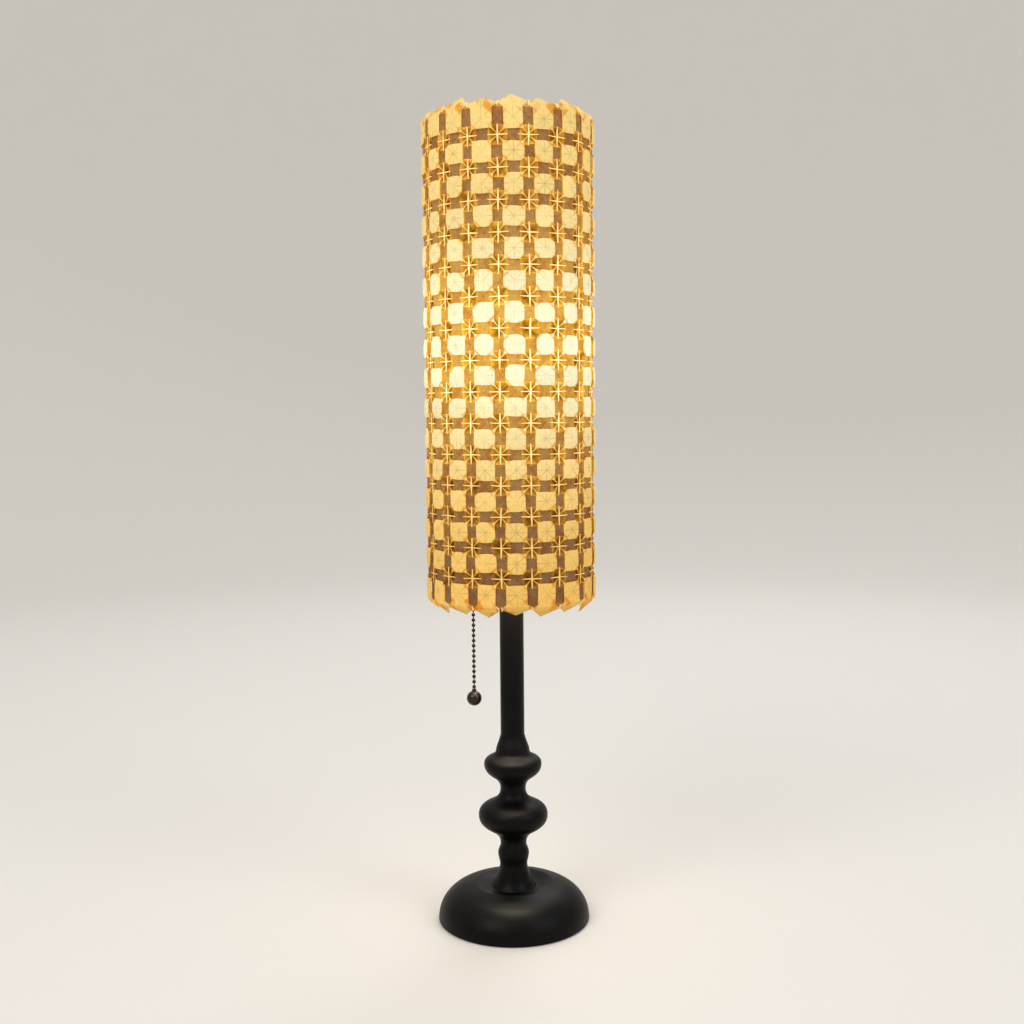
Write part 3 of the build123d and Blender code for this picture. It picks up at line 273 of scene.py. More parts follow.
def glowing_paper(
    name,
    sheet,
    far,
    near,
    spread,
    foot="FFFFFF",
    creases="",
    rim_shade=0.0,
    depth_shade=0.0,
    tint=None,
    tint_reach=None,
    mottle=0.1,
    toned=True,
):
    """Hand-made mulberry paper, folded, with the bulb's light behind it.

    Soft fibres of about a millimetre give it a cloudy, slightly hairy look, and it has no shine.
    sheet is its own colour. far and near are the light that comes through it at the shade's ends
    and beside the bulb, and spread is how far along the shade the near light reaches. foot is what
    is left of the light and the colour at the shade's foot, which the socket keeps in shadow.
    creases is "star" or "cross", for creases painted as thin lines of shade. rim_shade is how
    much painted shade darkens what lies under a panel's edge, and depth_shade how much it darkens
    the bottom of a pocket, whose lip gets a painted highlight. tint is a colour that shows in
    patches, where flaps lie double, and tint_reach is how far out on a face those start and end, in
    millimetres, or None where they are all over it. mottle is how much the pulp's thickness shows.
    toned is False for a solid without tones and folds.
    """
    material, shader, add = new_material(name)
    glow = bpy.context.scene.lamp_glow
    place = add("TexCoord").outputs["Object"]
    height = add("SeparateXYZ", [place]).outputs["Z"]
    fold = add("SeparateXYZ", [add("UVMap", uv_map="fold")])
    across, along = fold.outputs["X"], fold.outputs["Y"]
    nearness = bulb_nearness(add, height, spread)
    light, fibres = pulp_and_fibres(add, place, mottle)
    surface = fibres

    # What dims the light, from face to face and within a face
    dims = []
    if toned:
        dims.append(add("Attribute", attribute_name="tone").outputs["Fac"])
    if creases or tint:
        # Patches about 10 mm across, where a crease shows or a flap lies double behind
        patches = add("TexNoise", {"Vector": place, "Scale": 1 / (10 * MM), "Detail": 1.0})
    if creases:
        # Where the paper healed, a crease is faint, and the bulb's glare hides most of one beside it
        marks = fold_marks(add, across, along, star=creases == "star")
        showing = add("MapRange", [patches, 0.4, 0.6, 0.2, 1.0])
        crease = add("Math", [marks, showing], operation="MULTIPLY")
        # Painted shade along each crease, lighter beside the bulb
        shadow = add("MapRange", [nearness, 0.0, 1.0, -0.34, -0.16])
        dims.append(add("Math", [crease, shadow, 1.0], operation="MULTIPLY_ADD"))
        surface = add("Math", [crease, -1.5, fibres], operation="MULTIPLY_ADD")
    if rim_shade:
        # Painted shade under the edges of the panels beside it
        out = add("Math", [across], operation="ABSOLUTE")
        dims.append(add("MapRange", [out, 3.2, 4.7, 1.0, 1 - rim_shade], interpolation_type="SMOOTHSTEP"))
    if depth_shade:
        # Painted shade towards the bottom of a pocket, and a painted highlight along its lip
        down = add("MapRange", [along, 0.05, 0.8, 1.0, 1 - depth_shade])
        lip_highlight = add("MapRange", [along, 0.03, 0.1, 1.3, 1.0])
        dims.append(add("Math", [down, lip_highlight], operation="MULTIPLY"))
    for dim in dims:
        light = add("Math", [light, dim], operation="MULTIPLY")

    own = (*sheet, 1.0)
    through = add("Mix", {"Factor": nearness, "A": opaque(far), "B": opaque(near)}, data_type="RGBA")
    lowness = add("MapRange", [height, glow.bulb_height - SOCKET_SHADOW, SHADE_MOUTH_Z, 0.0, 1.0])
    veils = [(lowness, foot)]
    if tint:
        doubled = add("MapRange", [patches, 0.45, 0.6, 0.0, 1.0])
        if tint_reach:
            wide, high = [add("Math", [side], operation="ABSOLUTE") for side in (across, along)]
            out = add("Math", [wide, high], operation="ADD")
            rim = add("MapRange", [out, *tint_reach, 0.0, 1.0])
            doubled = add("Math", [rim, doubled], operation="MULTIPLY")
        veils.append((doubled, tint))
    for amount, veil in veils:
        own, through = [
            add(
                "Mix",
                {"Factor": amount, "A": plain, "B": opaque(veil)},
                data_type="RGBA",
                blend_type="MULTIPLY",
            )
            for plain in (own, through)
        ]
    shaded, lit = [
        add("VectorMath", {"Vector": plain, "Scale": light}, operation="SCALE")
        for plain in (own, through)
    ]
    set_inputs(
        shader,
        {
            "Base Color": shaded,
            "Roughness": add("MapRange", [fibres, *NOISE_RANGE, 0.92, 0.74]),
            "IOR": 1.45,
            "Normal": add("Bump", {"Height": surface, "Strength": 0.35, "Distance": 0.12 * MM}),
            "Specular IOR Level": 0.25,
            "Emission Color": lit,
            "Emission Strength": glow.strength,
        },
    )
    material.cycles.emission_sampling = "NONE"
    return material


def coated(name, base, roughness, grain, depth, metallic=0.0, coat=0.0, worn=None, shine=0.5):
    """A painted, plated or moulded surface with a fine grain.

    grain is the size of its texture and depth how deep that is, in millimetres. The colour drifts a
    little over about 25 mm, and worn is the colour where handling has thinned the finish.
    """
    material, shader, add = new_material(name)
    place = add("TexCoord").outputs["Object"]
    peel = add("TexNoise", {"Vector": place, "Scale": 1 / (grain * MM), "Detail": 3.0})
    drift = add("TexNoise", {"Vector": place, "Scale": 1 / (25 * MM), "Detail": 3.0})
    shade = add("MapRange", [drift, *NOISE_RANGE, 0.86, 1.12])
    finish = add("VectorMath", {"Vector": base, "Scale": shade}, operation="SCALE")
    if worn:
        rubbed = add("MapRange", [peel, 0.55, 0.72, 0.0, 0.6])
        finish = add("Mix", {"Factor": rubbed, "A": finish, "B": opaque(worn)}, data_type="RGBA")
    set_inputs(
        shader,
        {
            "Base Color": finish,
            "Metallic": metallic,
            "Roughness": add("MapRange", [drift, *NOISE_RANGE, roughness * 0.9, roughness * 1.12]),
            "Normal": add("Bump", {"Height": peel, "Strength": 0.4, "Distance": depth * MM}),
            "Specular IOR Level": shine,
            "Coat Weight": coat,
            "Coat Roughness": 0.2,
        },
    )
    return material


def fibrous(name, base, thread, depth):
    """Pressed or felted fibre: a matt mat of threads, with paler hairs on top.

    thread is a thread's width and depth how far it stands up, in millimetres.
    """
    material, shader, add = new_material(name)
    place = add("TexCoord").outputs["Object"]
    stretched = add("Mapping", {"Vector": place, "Scale": (1.0, 0.4, 0.6)})
    mat = add(
        "TexNoise", {"Vector": stretched, "Scale": 1 / (thread * MM), "Detail": 5.0, "Distortion": 1.5}
    )
    shade = add("MapRange", [mat, *NOISE_RANGE, 0.6, 1.5])
    set_inputs(
        shader,
        {
            "Base Color": add("VectorMath", {"Vector": base, "Scale": shade}, operation="SCALE"),
            "Roughness": 0.95,
            "Normal": add("Bump", {"Height": mat, "Strength": 0.8, "Distance": depth * MM}),
            "Sheen Weight": 0.3,
        },
    )
    return material


def frosted_glass():
    """Etched soda-lime glass, lit from within: milky, brightest beside the filament."""
    material, shader, add = new_material("frosted_glass")
    place = add("TexCoord").outputs["Object"]
    height = add("SeparateXYZ", [place]).outputs["Z"]
    away = add("Math", [height, bpy.context.scene.lamp_glow.bulb_height], operation="SUBTRACT")
    size = add("Math", [away], operation="ABSOLUTE")
    bright = add("MapRange", [size, 0.0, 45 * MM, 1.0, 0.25], interpolation_type="SMOOTHSTEP")
    warm = add("Mix", {"Factor": bright, "A": opaque("E8963C"), "B": opaque("FFF0C8")}, data_type="RGBA")
    etch = add("TexNoise", {"Vector": place, "Scale": 1 / (0.4 * MM), "Detail": 2.0})
    set_inputs(
        shader,
        {
            "Base Color": opaque("F4EEDF"),
            "Roughness": add("MapRange", [etch, *NOISE_RANGE, 0.35, 0.5]),
            "IOR": 1.5,
            "Transmission Weight": 0.25,
            "Emission Color": warm,
            "Emission Strength": 1.1,
        },
    )
    return material


def pressed_glass():
    """Clear glass, pressed in a mould: thick, slightly green, with small seeds."""
    material, shader, add = new_material("pressed_clear_glass")
    seeds = add("TexNoise", {"Vector": add("TexCoord").outputs["Object"], "Scale": 1 / (2 * MM)})
    green = add("Mix", {"Factor": seeds, "A": opaque("E6F0E6"), "B": opaque("FFFFFF")}, data_type="RGBA")
    smooth = add("MapRange", [seeds, 0.0, 1.0, 0.02, 0.1])
    set_inputs(
        shader, {"Base Color": green, "Roughness": smooth, "IOR": 1.52, "Transmission Weight": 1.0}
    )
    return material


def white_hot_tungsten():
    """Drawn tungsten at white heat: a thin bright line."""
    material, shader, add = new_material("glowing_tungsten")
    coil = add("TexNoise", {"Vector": add("TexCoord").outputs["Object"], "Scale": 1 / (1 * MM)})
    heat = add("Mix", {"Factor": coil, "A": opaque("FFC070"), "B": opaque("FFF4D8")}, data_type="RGBA")
    set_inputs(
        shader,
        {
            "Base Color": opaque("8A8680"),
            "Metallic": 1.0,
            "Emission Color": heat,
            "Emission Strength": 6.0,
        },
    )
    return material


def seamless_paper(pale):
    """Seamless background paper: matt and pale, with a faint tooth."""
    material, shader, add = new_material("seamless_paper")
    tooth = add("TexNoise", {"Vector": add("TexCoord").outputs["Object"], "Scale": 1 / (4 * MM)})
    shade = add("MapRange", [tooth, *NOISE_RANGE, 0.985, 1.0])
    set_inputs(
        shader,
        {
            "Base Color": add("VectorMath", {"Vector": pale, "Scale": shade}, operation="SCALE"),
            "Roughness": 0.9,
            "Specular IOR Level": 0.2,
        },
    )
    return material


# The finishes of the folded paper, in the order of the materials that shade_papers gives
PANEL, SQUARE, POCKET, CROSS, STRIP = range(5)


def shade_papers(finish):
    """The shade's papers. What tells them apart is how many layers lie before the bulb."""
    return [
        # Outer face: cream mulberry paper, one layer thick, so the most light comes through it
        glowing_paper(
            "mulberry_paper_panel",
            finish.panel,
            far="9C7E2C",
            near="ACC2B4",
            spread=0.074,
            foot="F6E6CA",
            # Its creases are painted as thin lines of shade
            creases="star",
            tint="F2C070",
            tint_reach=(9.6, 11.8),
            mottle=0.07,
        ),
        # Inner face: taupe side of the paper over several layers, dark where the bulb is far
        glowing_paper(
            "mulberry_paper_square",
            finish.square,
            far="7A5828",
            near="D6A63A",
            spread=0.075,
            foot="D5D4E5",
            # Its creases are painted as thin lines of shade
            creases="cross",
            # Painted shade where the panels' edges lie over it
            rim_shade=0.2,
            tint="F8E2CE",
            mottle=0.2,
        ),
        # Pocket walls: two layers, which filter the light to orange
        glowing_paper(
            "mulberry_paper_pocket",
            finish.pocket,
            far="AC7418",
            near="D89E14",
            spread=0.085,
            foot="BEB6B8",
            # Painted shade deep in the pocket, and a painted highlight on its lip
            depth_shade=0.55,
            tint="D8C890",
            mottle=0.15,
        ),
        # Folded edges that face out, bright because they look straight at the light
        glowing_paper(
            "mulberry_paper_edge", finish.cross, far="B88C2C", near="D8D0A0", spread=0.085, foot="E7DFCE"
        ),
        # Corners folded down into the pockets: two layers, so yellower than the panels
        glowing_paper(
            "mulberry_paper_corner", finish.strip, far="A07228", near="B8AB58", spread=0.08, foot="E0D4C4"
        ),
    ]


class FoldedPaper:
    """Faces of folded paper, with each face's finish and tone and each corner's fold coordinates.

    Fold coordinates are millimetres from a face's middle. In a pocket, the second one is instead
    how deep the corner lies, from 0 at the rim to 1 at the bottom, which sets the painted shade
    there. A face's tone differs at random, and on the tips and the notches' edges it also holds
    painted shade and painted light.
    """

    def __init__(self):
        self.points = []
        self.faces = []
        self.folds = []
        self.finishes = []
        self.tones = []

    def face(self, points, folds, finish, tone, flip=False):
        """One face, from its corners' places and fold coordinates, anticlockwise from outside.

        flip is for corners that run clockwise.
        """
        if flip:
            points, folds = points[::-1], folds[::-1]
        start = len(self.points)
        self.points += [tuple(point) for point in points]
        self.faces.append(list(range(start, start + len(points))))
        self.folds += folds
        self.finishes.append(finish)
        self.tones.append(tone)

    def grid(self, points, folds, finish, tone, flip=False):
        """A rectangular grid of faces, from rows of points and rows of their fold coordinates."""
        start = len(self.points)
        columns = len(points[0])
        for row in points:
            self.points += row
        for i in range(len(points) - 1):
            for j in range(columns - 1):
                corners = [(i, j), (i, j + 1), (i + 1, j + 1), (i + 1, j)]
                corners = corners[::-1] if flip else corners
                self.faces.append([start + a * columns + b for a, b in corners])
                self.folds += [folds[a][b] for a, b in corners]
                self.finishes.append(finish)
                self.tones.append(tone)

    def piece(self, name, node, materials):
        """The mesh object, which stands for that CAD node."""
        mesh = bpy.data.meshes.new(name)
        mesh.from_pydata(self.points, [], self.faces)
        layer = mesh.uv_layers.new(name="fold")
        layer.data.foreach_set("uv", [value for pair in self.folds for value in pair])
        tone = mesh.attributes.new("tone", "FLOAT", "FACE")
        tone.data.foreach_set("value", self.tones)
        for material in materials:
            mesh.materials.append(material)
        mesh.polygons.foreach_set("material_index", self.finishes)
        mesh.polygons.foreach_set("use_smooth", [finish == PANEL for finish in self.finishes])
        piece = bpy.data.objects.new(name, mesh)
        bpy.context.scene.collection.objects.link(piece)
        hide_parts(node)
        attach(piece, "shade")
        return piece


# Where the random draws of each kind of feature start, and how far apart those of its rows are
MODULE_SEED, POCKET_SEED, SEAM_SEED, TIP_SEED = 0, 50000, 70000, 90000
ROW_SEED = 1000


def draws(kind, row, column):
    """The random numbers of one feature, the same in each run."""
    return random.Random(kind + ROW_SEED * row + column)


# How far a module strays from the ideal one, either way, at an unevenness of 1: its corners' cuts
# as a share of them, its place across and up, its turn, its width and height, and its tone
CUT_STRAY = 0.16
SHIFT_STRAY = (0.35 * MM, 0.3 * MM)
TURN_STRAY = math.radians(2.6)
SCALE_STRAY = 0.03
TONE_STRAY = 0.05

# Share of the corners that have a flap folded over them, and its size as a share of the cut
FLAP_SHARE = 0.07
FLAP_SIZE = 1.1

# A panel's mean width as a share of its setting, and how strongly the weave changes width and height
MEAN_WIDTH = 1.03
WEAVE_ACROSS = 1.1
WEAVE_UP = 0.8


class Lattice:
    """The shade's modules: where each panel's corners are, and how each module differs."""

    def __init__(self, sizes):
        self.sizes = sizes
        self.step = 2 * math.pi / sizes.columns
        self.apothem = math.sqrt(sizes.fold_radius**2 - sizes.panel_half_width**2)
        side_half = self.step / 2 - math.atan(sizes.panel_half_width / self.apothem)
        self.seam_apothem = sizes.fold_radius * math.cos(side_half)
        self.modules = {}
        for row in range(len(ROW_NODES)):
            for column in range(sizes.columns):
                self.modules[row, column] = self.new_module(row, column)

    def new_module(self, row, column):
        """A module's own corner cuts, shift, turn, scale and tone, the same each time."""
        sizes = self.sizes
        much = sizes.unevenness
        chance = draws(MODULE_SEED, row, column)
        cuts = {}
        for end in (-1, 1):
            for side in (-1, 1):
                cut = sizes.corner_cut * (1 + much * chance.uniform(-CUT_STRAY, CUT_STRAY))
                folded = chance.random() < FLAP_SHARE * much
                cuts[side, end] = (cut, FLAP_SIZE * sizes.corner_cut if folded else 0.0)
        woven = sizes.weave if (row + column) % 2 else -sizes.weave
        wide, high = MEAN_WIDTH + WEAVE_ACROSS * woven, 1 - WEAVE_UP * woven
        return {
            "cuts": cuts,
            "shift": [much * chance.uniform(-stray, stray) for stray in SHIFT_STRAY],
            "turn": much * chance.uniform(-TURN_STRAY, TURN_STRAY),
            "wide": wide + much * chance.uniform(-SCALE_STRAY, SCALE_STRAY),
            "high": high + much * chance.uniform(-SCALE_STRAY, SCALE_STRAY),
            "tone": 1 + much * chance.uniform(-TONE_STRAY, TONE_STRAY),
        }

    def at(self, row, column, x, y, z, seam=False):
        """A place by its offsets from a panel's middle, or from the middle of the seam to its right.

        x is across, y is outwards from the panels' plane and z is up.
        """
        turn = self.sizes.first_column - math.pi / 2 + column * self.step
        reach = self.apothem
        if seam:
            turn += self.step / 2
            reach = self.seam_apothem
        return (
            (reach + y) * math.cos(turn) - x * math.sin(turn),
            (reach + y) * math.sin(turn) + x * math.cos(turn),
            TOP_ROW_Z - row * ROW_PITCH + z,
        )

    def on_module(self, row, column, x, z):
        """Where an offset on an ideal panel lands on this hand-folded one."""
        module = self.modules[row, column % self.sizes.columns]
        x, z = x * module["wide"], z * module["high"]
        turn = module["turn"]
        return (
            x * math.cos(turn) - z * math.sin(turn) + module["shift"][0],
            x * math.sin(turn) + z * math.cos(turn) + module["shift"][1],
        )

    def corner(self, row, column, side, end, which, flap=False):
        """A panel corner's (x, z): the one on its side edge, or the one on its end edge.

        Some corners have a flap folded over them. flap asks for what it leaves of the panel.
        """
        sizes = self.sizes
        cut, folded = self.modules[row, column % sizes.columns]["cuts"][side, end]
        if flap:
            cut += folded
        x, z = sizes.panel_half_width, sizes.panel_half_height - cut
        if which == "end":
            x, z = sizes.panel_half_width - cut, sizes.panel_half_height
        return self.on_module(row, column, side * x, end * z)


# How much of the edge bow a panel's upright and level edges have
UPRIGHT_BOW = 0.5
LEVEL_BOW = 1.2

# Places along a bowed edge, as shares of its length
EDGE_SHARES = (0, 1 / 3, 2 / 3, 1)

# How far out on a panel, and how much of the pillow it has fallen there
PILLOW_PROFILE = ((1.0, 1.0), (0.94, 0.7), (0.8, 0.42), (0.6, 0.2), (0.3, 0.05), (0.0, 0.0))

# How far the middle of a panel stands out of the panels' plane, and how far a flap that is folded
# over a corner lies below it, at its crease and at its edge
PANEL_CREST = 0.75 * MM
FLAP_CREASE = -0.2 * MM
FLAP_EDGE = -0.4 * MM

# How deep in a pocket the flank of a panel and a cut or folded edge count as, for painted shade
FLANK_DEPTH = 0.15
EDGE_DEPTH = 0.3

# How far the brown squares reach under the panels beside them, and how far their middles sag
TUCK = 1.0 * MM
SIDE_SAG = 0.35 * MM
END_SAG = 0.6 * MM


def panel_rim(lattice, row, column):
    """A panel's outline, anticlockwise from outside: its eight corners, with bowed edges."""
    rim = []
    order = [
        ((1, -1, "side"), (1, 1, "side"), (1, 0)),
        ((1, 1, "end"), (-1, 1, "end"), (0, 1)),
        ((-1, 1, "side"), (-1, -1, "side"), (-1, 0)),
        ((-1, -1, "end"), (1, -1, "end"), (0, -1)),
    ]
    for *ends, way in order:
        a, b = [lattice.corner(row, column, *corner, flap=True) for corner in ends]
        bow = lattice.sizes.edge_bow * (LEVEL_BOW if way[1] else UPRIGHT_BOW)
        for share in EDGE_SHARES:
            out = 4 * share * (1 - share) * bow
            rim.append([a[k] + (b[k] - a[k]) * share + way[k] * out for k in (0, 1)])
    return rim


def add_panel(paper, lattice, row, column):
    """A cream panel: a pillowed sheet whose flank, two layers thick, glows orange."""
    sizes = lattice.sizes
    module = lattice.modules[row, column]
    rim = panel_rim(lattice, row, column)
    middle_x, middle_z = lattice.on_module(row, column, 0, 0)
    lifts = [(1.0, -sizes.panel_rise)]
    lifts += [(share, PANEL_CREST - fall * sizes.pillow) for share, fall in PILLOW_PROFILE]
    points, folds = [], []
    for share, lift in lifts:
        offsets = [((x - middle_x) * share, (z - middle_z) * share) for x, z in rim + rim[:1]]
        points.append([lattice.at(row, column, middle_x + x, lift, middle_z + z) for x, z in offsets])
        folds.append([(x / MM, z / MM) for x, z in offsets])
    flank = [[(0, FLANK_DEPTH)] * len(points[0])] * 2
    paper.grid(points[:2], flank, POCKET, module["tone"])
    paper.grid(points[1:], folds[1:], PANEL, module["tone"])
    for side, end in ((1, -1), (1, 1), (-1, 1), (-1, -1)):
        if not module["cuts"][side, end][1]:
            continue
        ring = []
        for which, flap in (("side", True), ("side", False), ("end", False), ("end", True)):
            x, z = lattice.corner(row, column, side, end, which, flap=flap)
            ring.append(lattice.at(row, column, x, FLAP_CREASE if flap else FLAP_EDGE, z))
        paper.face(ring, [(0, 5)] * 4, STRIP, 0.95 * module["tone"], flip=side * end > 0)


def add_fan(paper, ring, marks, middle, tone):
    """A brown face from its corners, anticlockwise, creased where its diagonals cross."""
    for i in range(len(ring)):
        j = (i + 1) % len(ring)
        paper.face([ring[i], ring[j], middle], [marks[i], marks[j], (0, 0)], SQUARE, tone)


def add_square(paper, corners, tone, sag):
    """A brown square from its four corners, anticlockwise, whose middle sags."""
    a, b, c, d = [Vector(corner) for corner in corners]
    out = (b - a).cross(d - a).normalized()
    middle = (a + b + c + d) / 4 - out * sag
    wide, high = (b - a).length / 2 / MM, (d - a).length / 2 / MM
    marks = [(-wide, -high), (wide, -high), (wide, high), (-wide, high)]
    add_fan(paper, [a, b, c, d], marks, middle, tone)


def side_square(lattice, row, column):
    """Corners of the brown square to the right of a panel, tucked under the panels beside it."""
    corners = []
    for side, end in ((1, -1), (-1, -1), (-1, 1), (1, 1)):
        owner = column if side > 0 else column + 1
        x, z = lattice.corner(row, owner, side, end, "side")
        corners.append(lattice.at(row, owner, x - side * TUCK, -lattice.sizes.panel_rise, z))
    return corners


def end_square(lattice, row, column):
    """Corners of the brown square below a panel, between it and the next panel down."""
    corners = []
    for side, end in ((1, 1), (1, -1), (-1, -1), (-1, 1)):
        owner = row + 1 if end > 0 else row
        x, z = lattice.corner(owner, column, side, end, "end")
        corners.append(lattice.at(owner, column, x, -lattice.sizes.panel_rise, z - end * TUCK))
    return corners


# Reach of a cross's arm from its middle, how much that varies either way, as a share of it, and how
# far the arm's end strays sideways
ARM_REACH = 7.9 * MM
ARM_REACH_STRAY = 0.06
ARM_STRAY = 0.45 * MM

# Least and greatest width of an arm at its end and at its middle, as shares of its setting
ARM_END_WIDTH = (0.45, 0.75)
ARM_MIDDLE_WIDTH = (0.95, 1.25)

# How deep an arm's foot lies at the cross's middle, as a share of the pocket's depth
ARM_ROOT = 0.9

# Places along a cross's arm, as shares of its reach
ARM_SHARES = (0.0, 0.35, 0.7, 1.0)


def add_blade(paper, lattice, row, column, chance, way, width, drop):
    """One arm of a cross: a folded edge that stands in the middle of a pocket wall."""
    sizes = lattice.sizes
    reach = ARM_REACH * (1 + ARM_REACH_STRAY * chance.uniform(-1, 1) * sizes.unevenness)
    stray = ARM_STRAY * chance.uniform(-1, 1) * sizes.unevenness
    tone = 1 + 0.08 * chance.uniform(-1, 1)
    thin = width * chance.uniform(*ARM_END_WIDTH)
    thick = width * chance.uniform(*ARM_MIDDLE_WIDTH)
    root = sizes.pocket_depth * ARM_ROOT
    end_top, end_foot = sizes.panel_rise - 0.3 * MM, sizes.panel_rise + 0.6 * MM
    tops, left, right = [], [], []
    for share in ARM_SHARES:
        along = reach * share
        half = (thick + (thin - thick) * share) / 2
        top = -drop + (drop - end_top) * share
        foot = -root * (1 - share) - end_foot * share
        # The level arms follow part of the shade's curve
        bend = 0.0 if way[1] else -along * math.tan(lattice.step / 4) * 0.35
        sides = []
        for edge in (-1, 1):
            off = stray * share * share + edge * half
            x = way[0] * along + abs(way[1]) * off
            z = way[1] * along + abs(way[0]) * off - ROW_PITCH / 2
            sides.append(
                [lattice.at(row, column, x, depth + bend, z, seam=True) for depth in (top, foot)]
            )
        tops.append([side[0] for side in sides])
        left.append(sides[0])
        right.append(sides[1])
    turned = way[0] - way[1] > 0
    flat = [[(-0.5, EDGE_DEPTH), (0.5, EDGE_DEPTH)]] * len(tops)
    # How deep the arm's sides lie in the pocket, which sets their painted shade
    deep = [[(0, 0.12), (0, 0.9)]] * len(tops)
    paper.grid(tops, flat, CROSS, tone, flip=not turned)
    paper.grid(left, deep, POCKET, tone, flip=turned)
    paper.grid(right, deep, POCKET, tone, flip=not turned)


# Where a cream strip starts, outwards from the panels' plane, and its half width there: a share of
# the corner's cut edge, which varies between two factors
STRIP_START = -0.25 * MM
STRIP_SHARE = 0.42
STRIP_SHARE_SPAN = (0.8, 1.1)

# Along a cream strip: share of the way to the pocket's middle, half width, and lift. The first half
# width is that of the corner it starts at.
STRIP_PROFILE = (
    (0.0, None, 0.1 * MM),
    (0.22, 0.7 * MM, -0.3 * MM),
    (0.5, 0.5 * MM, -1.2 * MM),
    (0.92, 0.32 * MM, -2.6 * MM),
)

# How far a strip's edges lie below its ridge
STRIP_FALL = 0.35 * MM

# Share of the strips that are two layers thick, and how much brighter than the walls those are
DOUBLED_SHARE = 0.16
DOUBLED_TONE = 1.3

# How deep the corners of a wall beside a strip lie, which sets their painted shade: the panel's,
# four on the strip, and the apex. Each of the wall's faces joins three of them.
WALL_DEPTHS = (0.05, 0.05, 0.45, 0.6, 0.8, 1)
WALL_FACES = ((0, 1, 2), (0, 2, 5), (2, 3, 5), (3, 4, 5))

# Least and greatest tone of the walls beside a strip, and of those under the brown squares
STRIP_WALL_TONE = (0.7, 1.15)
SQUARE_WALL_TONE = (0.75, 1.25)


def add_strip(paper, sizes, tone, chance, corner, hub, apex):
    """A cream strip that runs from a panel's corner down into a pocket, and the walls beside it.

    corner is the corner's two points where the strip starts, and the two below them on the rim.
    """
    starts, rims = corner
    middle = (starts[0] + starts[1]) / 2
    out = Vector((middle.x, middle.y, 0)).normalized()
    along = (hub - middle).normalized()
    across = along.cross(out).normalized()
    start_half = STRIP_SHARE * (rims[0] - rims[1]).length * chance.uniform(*STRIP_SHARE_SPAN)
    points, folds = [], []
    for share, half, lift in STRIP_PROFILE:
        spot = middle + (hub - middle) * share
        line = []
        for edge in (-1, 0, 1):
            fall = STRIP_FALL if edge else 0.0
            line.append(spot + across * edge * (half or start_half) + out * (lift - fall))
        points.append([tuple(place) for place in line])
        folds.append([(x, 3 + 4 * share) for x in (-1.2, 0.7, 1.2)])
    doubled = chance.random() < DOUBLED_SHARE * sizes.unevenness
    start, rest = (POCKET, POCKET) if doubled else (PANEL, STRIP)
    strip_tone = tone * (DOUBLED_TONE if doubled else 1.0)
    paper.grid(points[:2], folds[:2], start, strip_tone)
    paper.grid(points[1:], folds[1:], rest, strip_tone)

    # The rim's point on the side of the strip's last edge comes first
    if (rims[0] - middle).dot(across) <= 0:
        rims = rims[::-1]
    for side, rim in ((-1, rims[0]), (0, rims[1])):
        spots = [rim, *(line[side] for line in points), apex]
        shade = tone * chance.uniform(*STRIP_WALL_TONE)
        for trio in WALL_FACES:
            depths = [(0, WALL_DEPTHS[i]) for i in trio]
            paper.face([spots[i] for i in trio], depths, POCKET, shade, flip=side == 0)


def add_pocket(paper, lattice, row, column):
    """The pocket below and to the right of a panel: four walls, four cream strips and a cross."""
    sizes = lattice.sizes
    chance = draws(POCKET_SEED, row, column)
    tone = lattice.modules[row, column]["tone"]
    centre_z = -ROW_PITCH / 2
    x, z = 0.5 * MM * chance.uniform(-1, 1), 0.4 * MM * chance.uniform(-1, 1)
    apex = lattice.at(row, column, x, -sizes.pocket_depth, centre_z + z, seam=True)
    hub = Vector(lattice.at(row, column, 0, 0, centre_z, seam=True))
    corners = []
    for side, end in ((1, 1), (-1, 1), (-1, -1), (1, -1)):
        owner_row = row if end > 0 else row + 1
        owner_column = column + 1 if side > 0 else column
        starts, rims = [], []
        for which in ("side", "end"):
            x, z = lattice.corner(owner_row, owner_column, -side, -end, which)
            starts.append(Vector(lattice.at(owner_row, owner_column, x, STRIP_START, z)))
            rims.append(Vector(lattice.at(owner_row, owner_column, x, -sizes.panel_rise, z)))
        corners.append((starts, rims))

    # Walls under the brown squares, each split by its fin, with painted shade deepening to the apex
    for i in range(4):
        a, b = corners[i][1][i % 2], corners[(i + 1) % 4][1][i % 2]
        shade = tone * chance.uniform(*SQUARE_WALL_TONE)
        paper.face([a, b, apex], [(0, 0), (1, 0), (0.5, 1)], POCKET, shade)
    for corner in corners:
        add_strip(paper, sizes, tone, chance, corner, hub, apex)
    for way in ((0, 1), (0, -1)):
        add_blade(paper, lattice, row, column, chance, way, sizes.upright_fin, sizes.fin_drop)
    level_drop = sizes.fin_drop + 0.15 * MM
    for way in ((1, 0), (-1, 0)):
        add_blade(paper, lattice, row, column, chance, way, sizes.level_fin, level_drop)


# Heights along a free end's paper from its panel's middle, in millimetres: on the panel, between
# the flare and the notches, and on the tip
PANEL_HEIGHTS = (-2.0, 2.0, 5.0)
FLARED_HEIGHT = 10.0
TIP_HEIGHTS = (14.0, 17.0, 20.0, 22.3)

# The paper turns inwards by its lean between these heights. The lean is in degrees.
BEND_START = 7.0 * MM
BEND_END = 15.0 * MM
LEAN = 50
LEAN_STRAY = 5

# How far a tip strays sideways and curls inwards at its edges, for each metre above the notches
TWIST_STRAY = 0.1
CURL_STRAY = 0.3

# Rows of points between which painted shade darkens the paper, as it turns away from the bulb, and
# what is left of its tone under that painted shade at the shade's top, at its foot and on the inside
SHADE_START_ROW, SHADE_END_ROW = 7, 9
TOP_SHADE_TONE = 0.93
FOOT_SHADE_TONE = 0.82
INSIDE_SHADE_TONE = 0.8

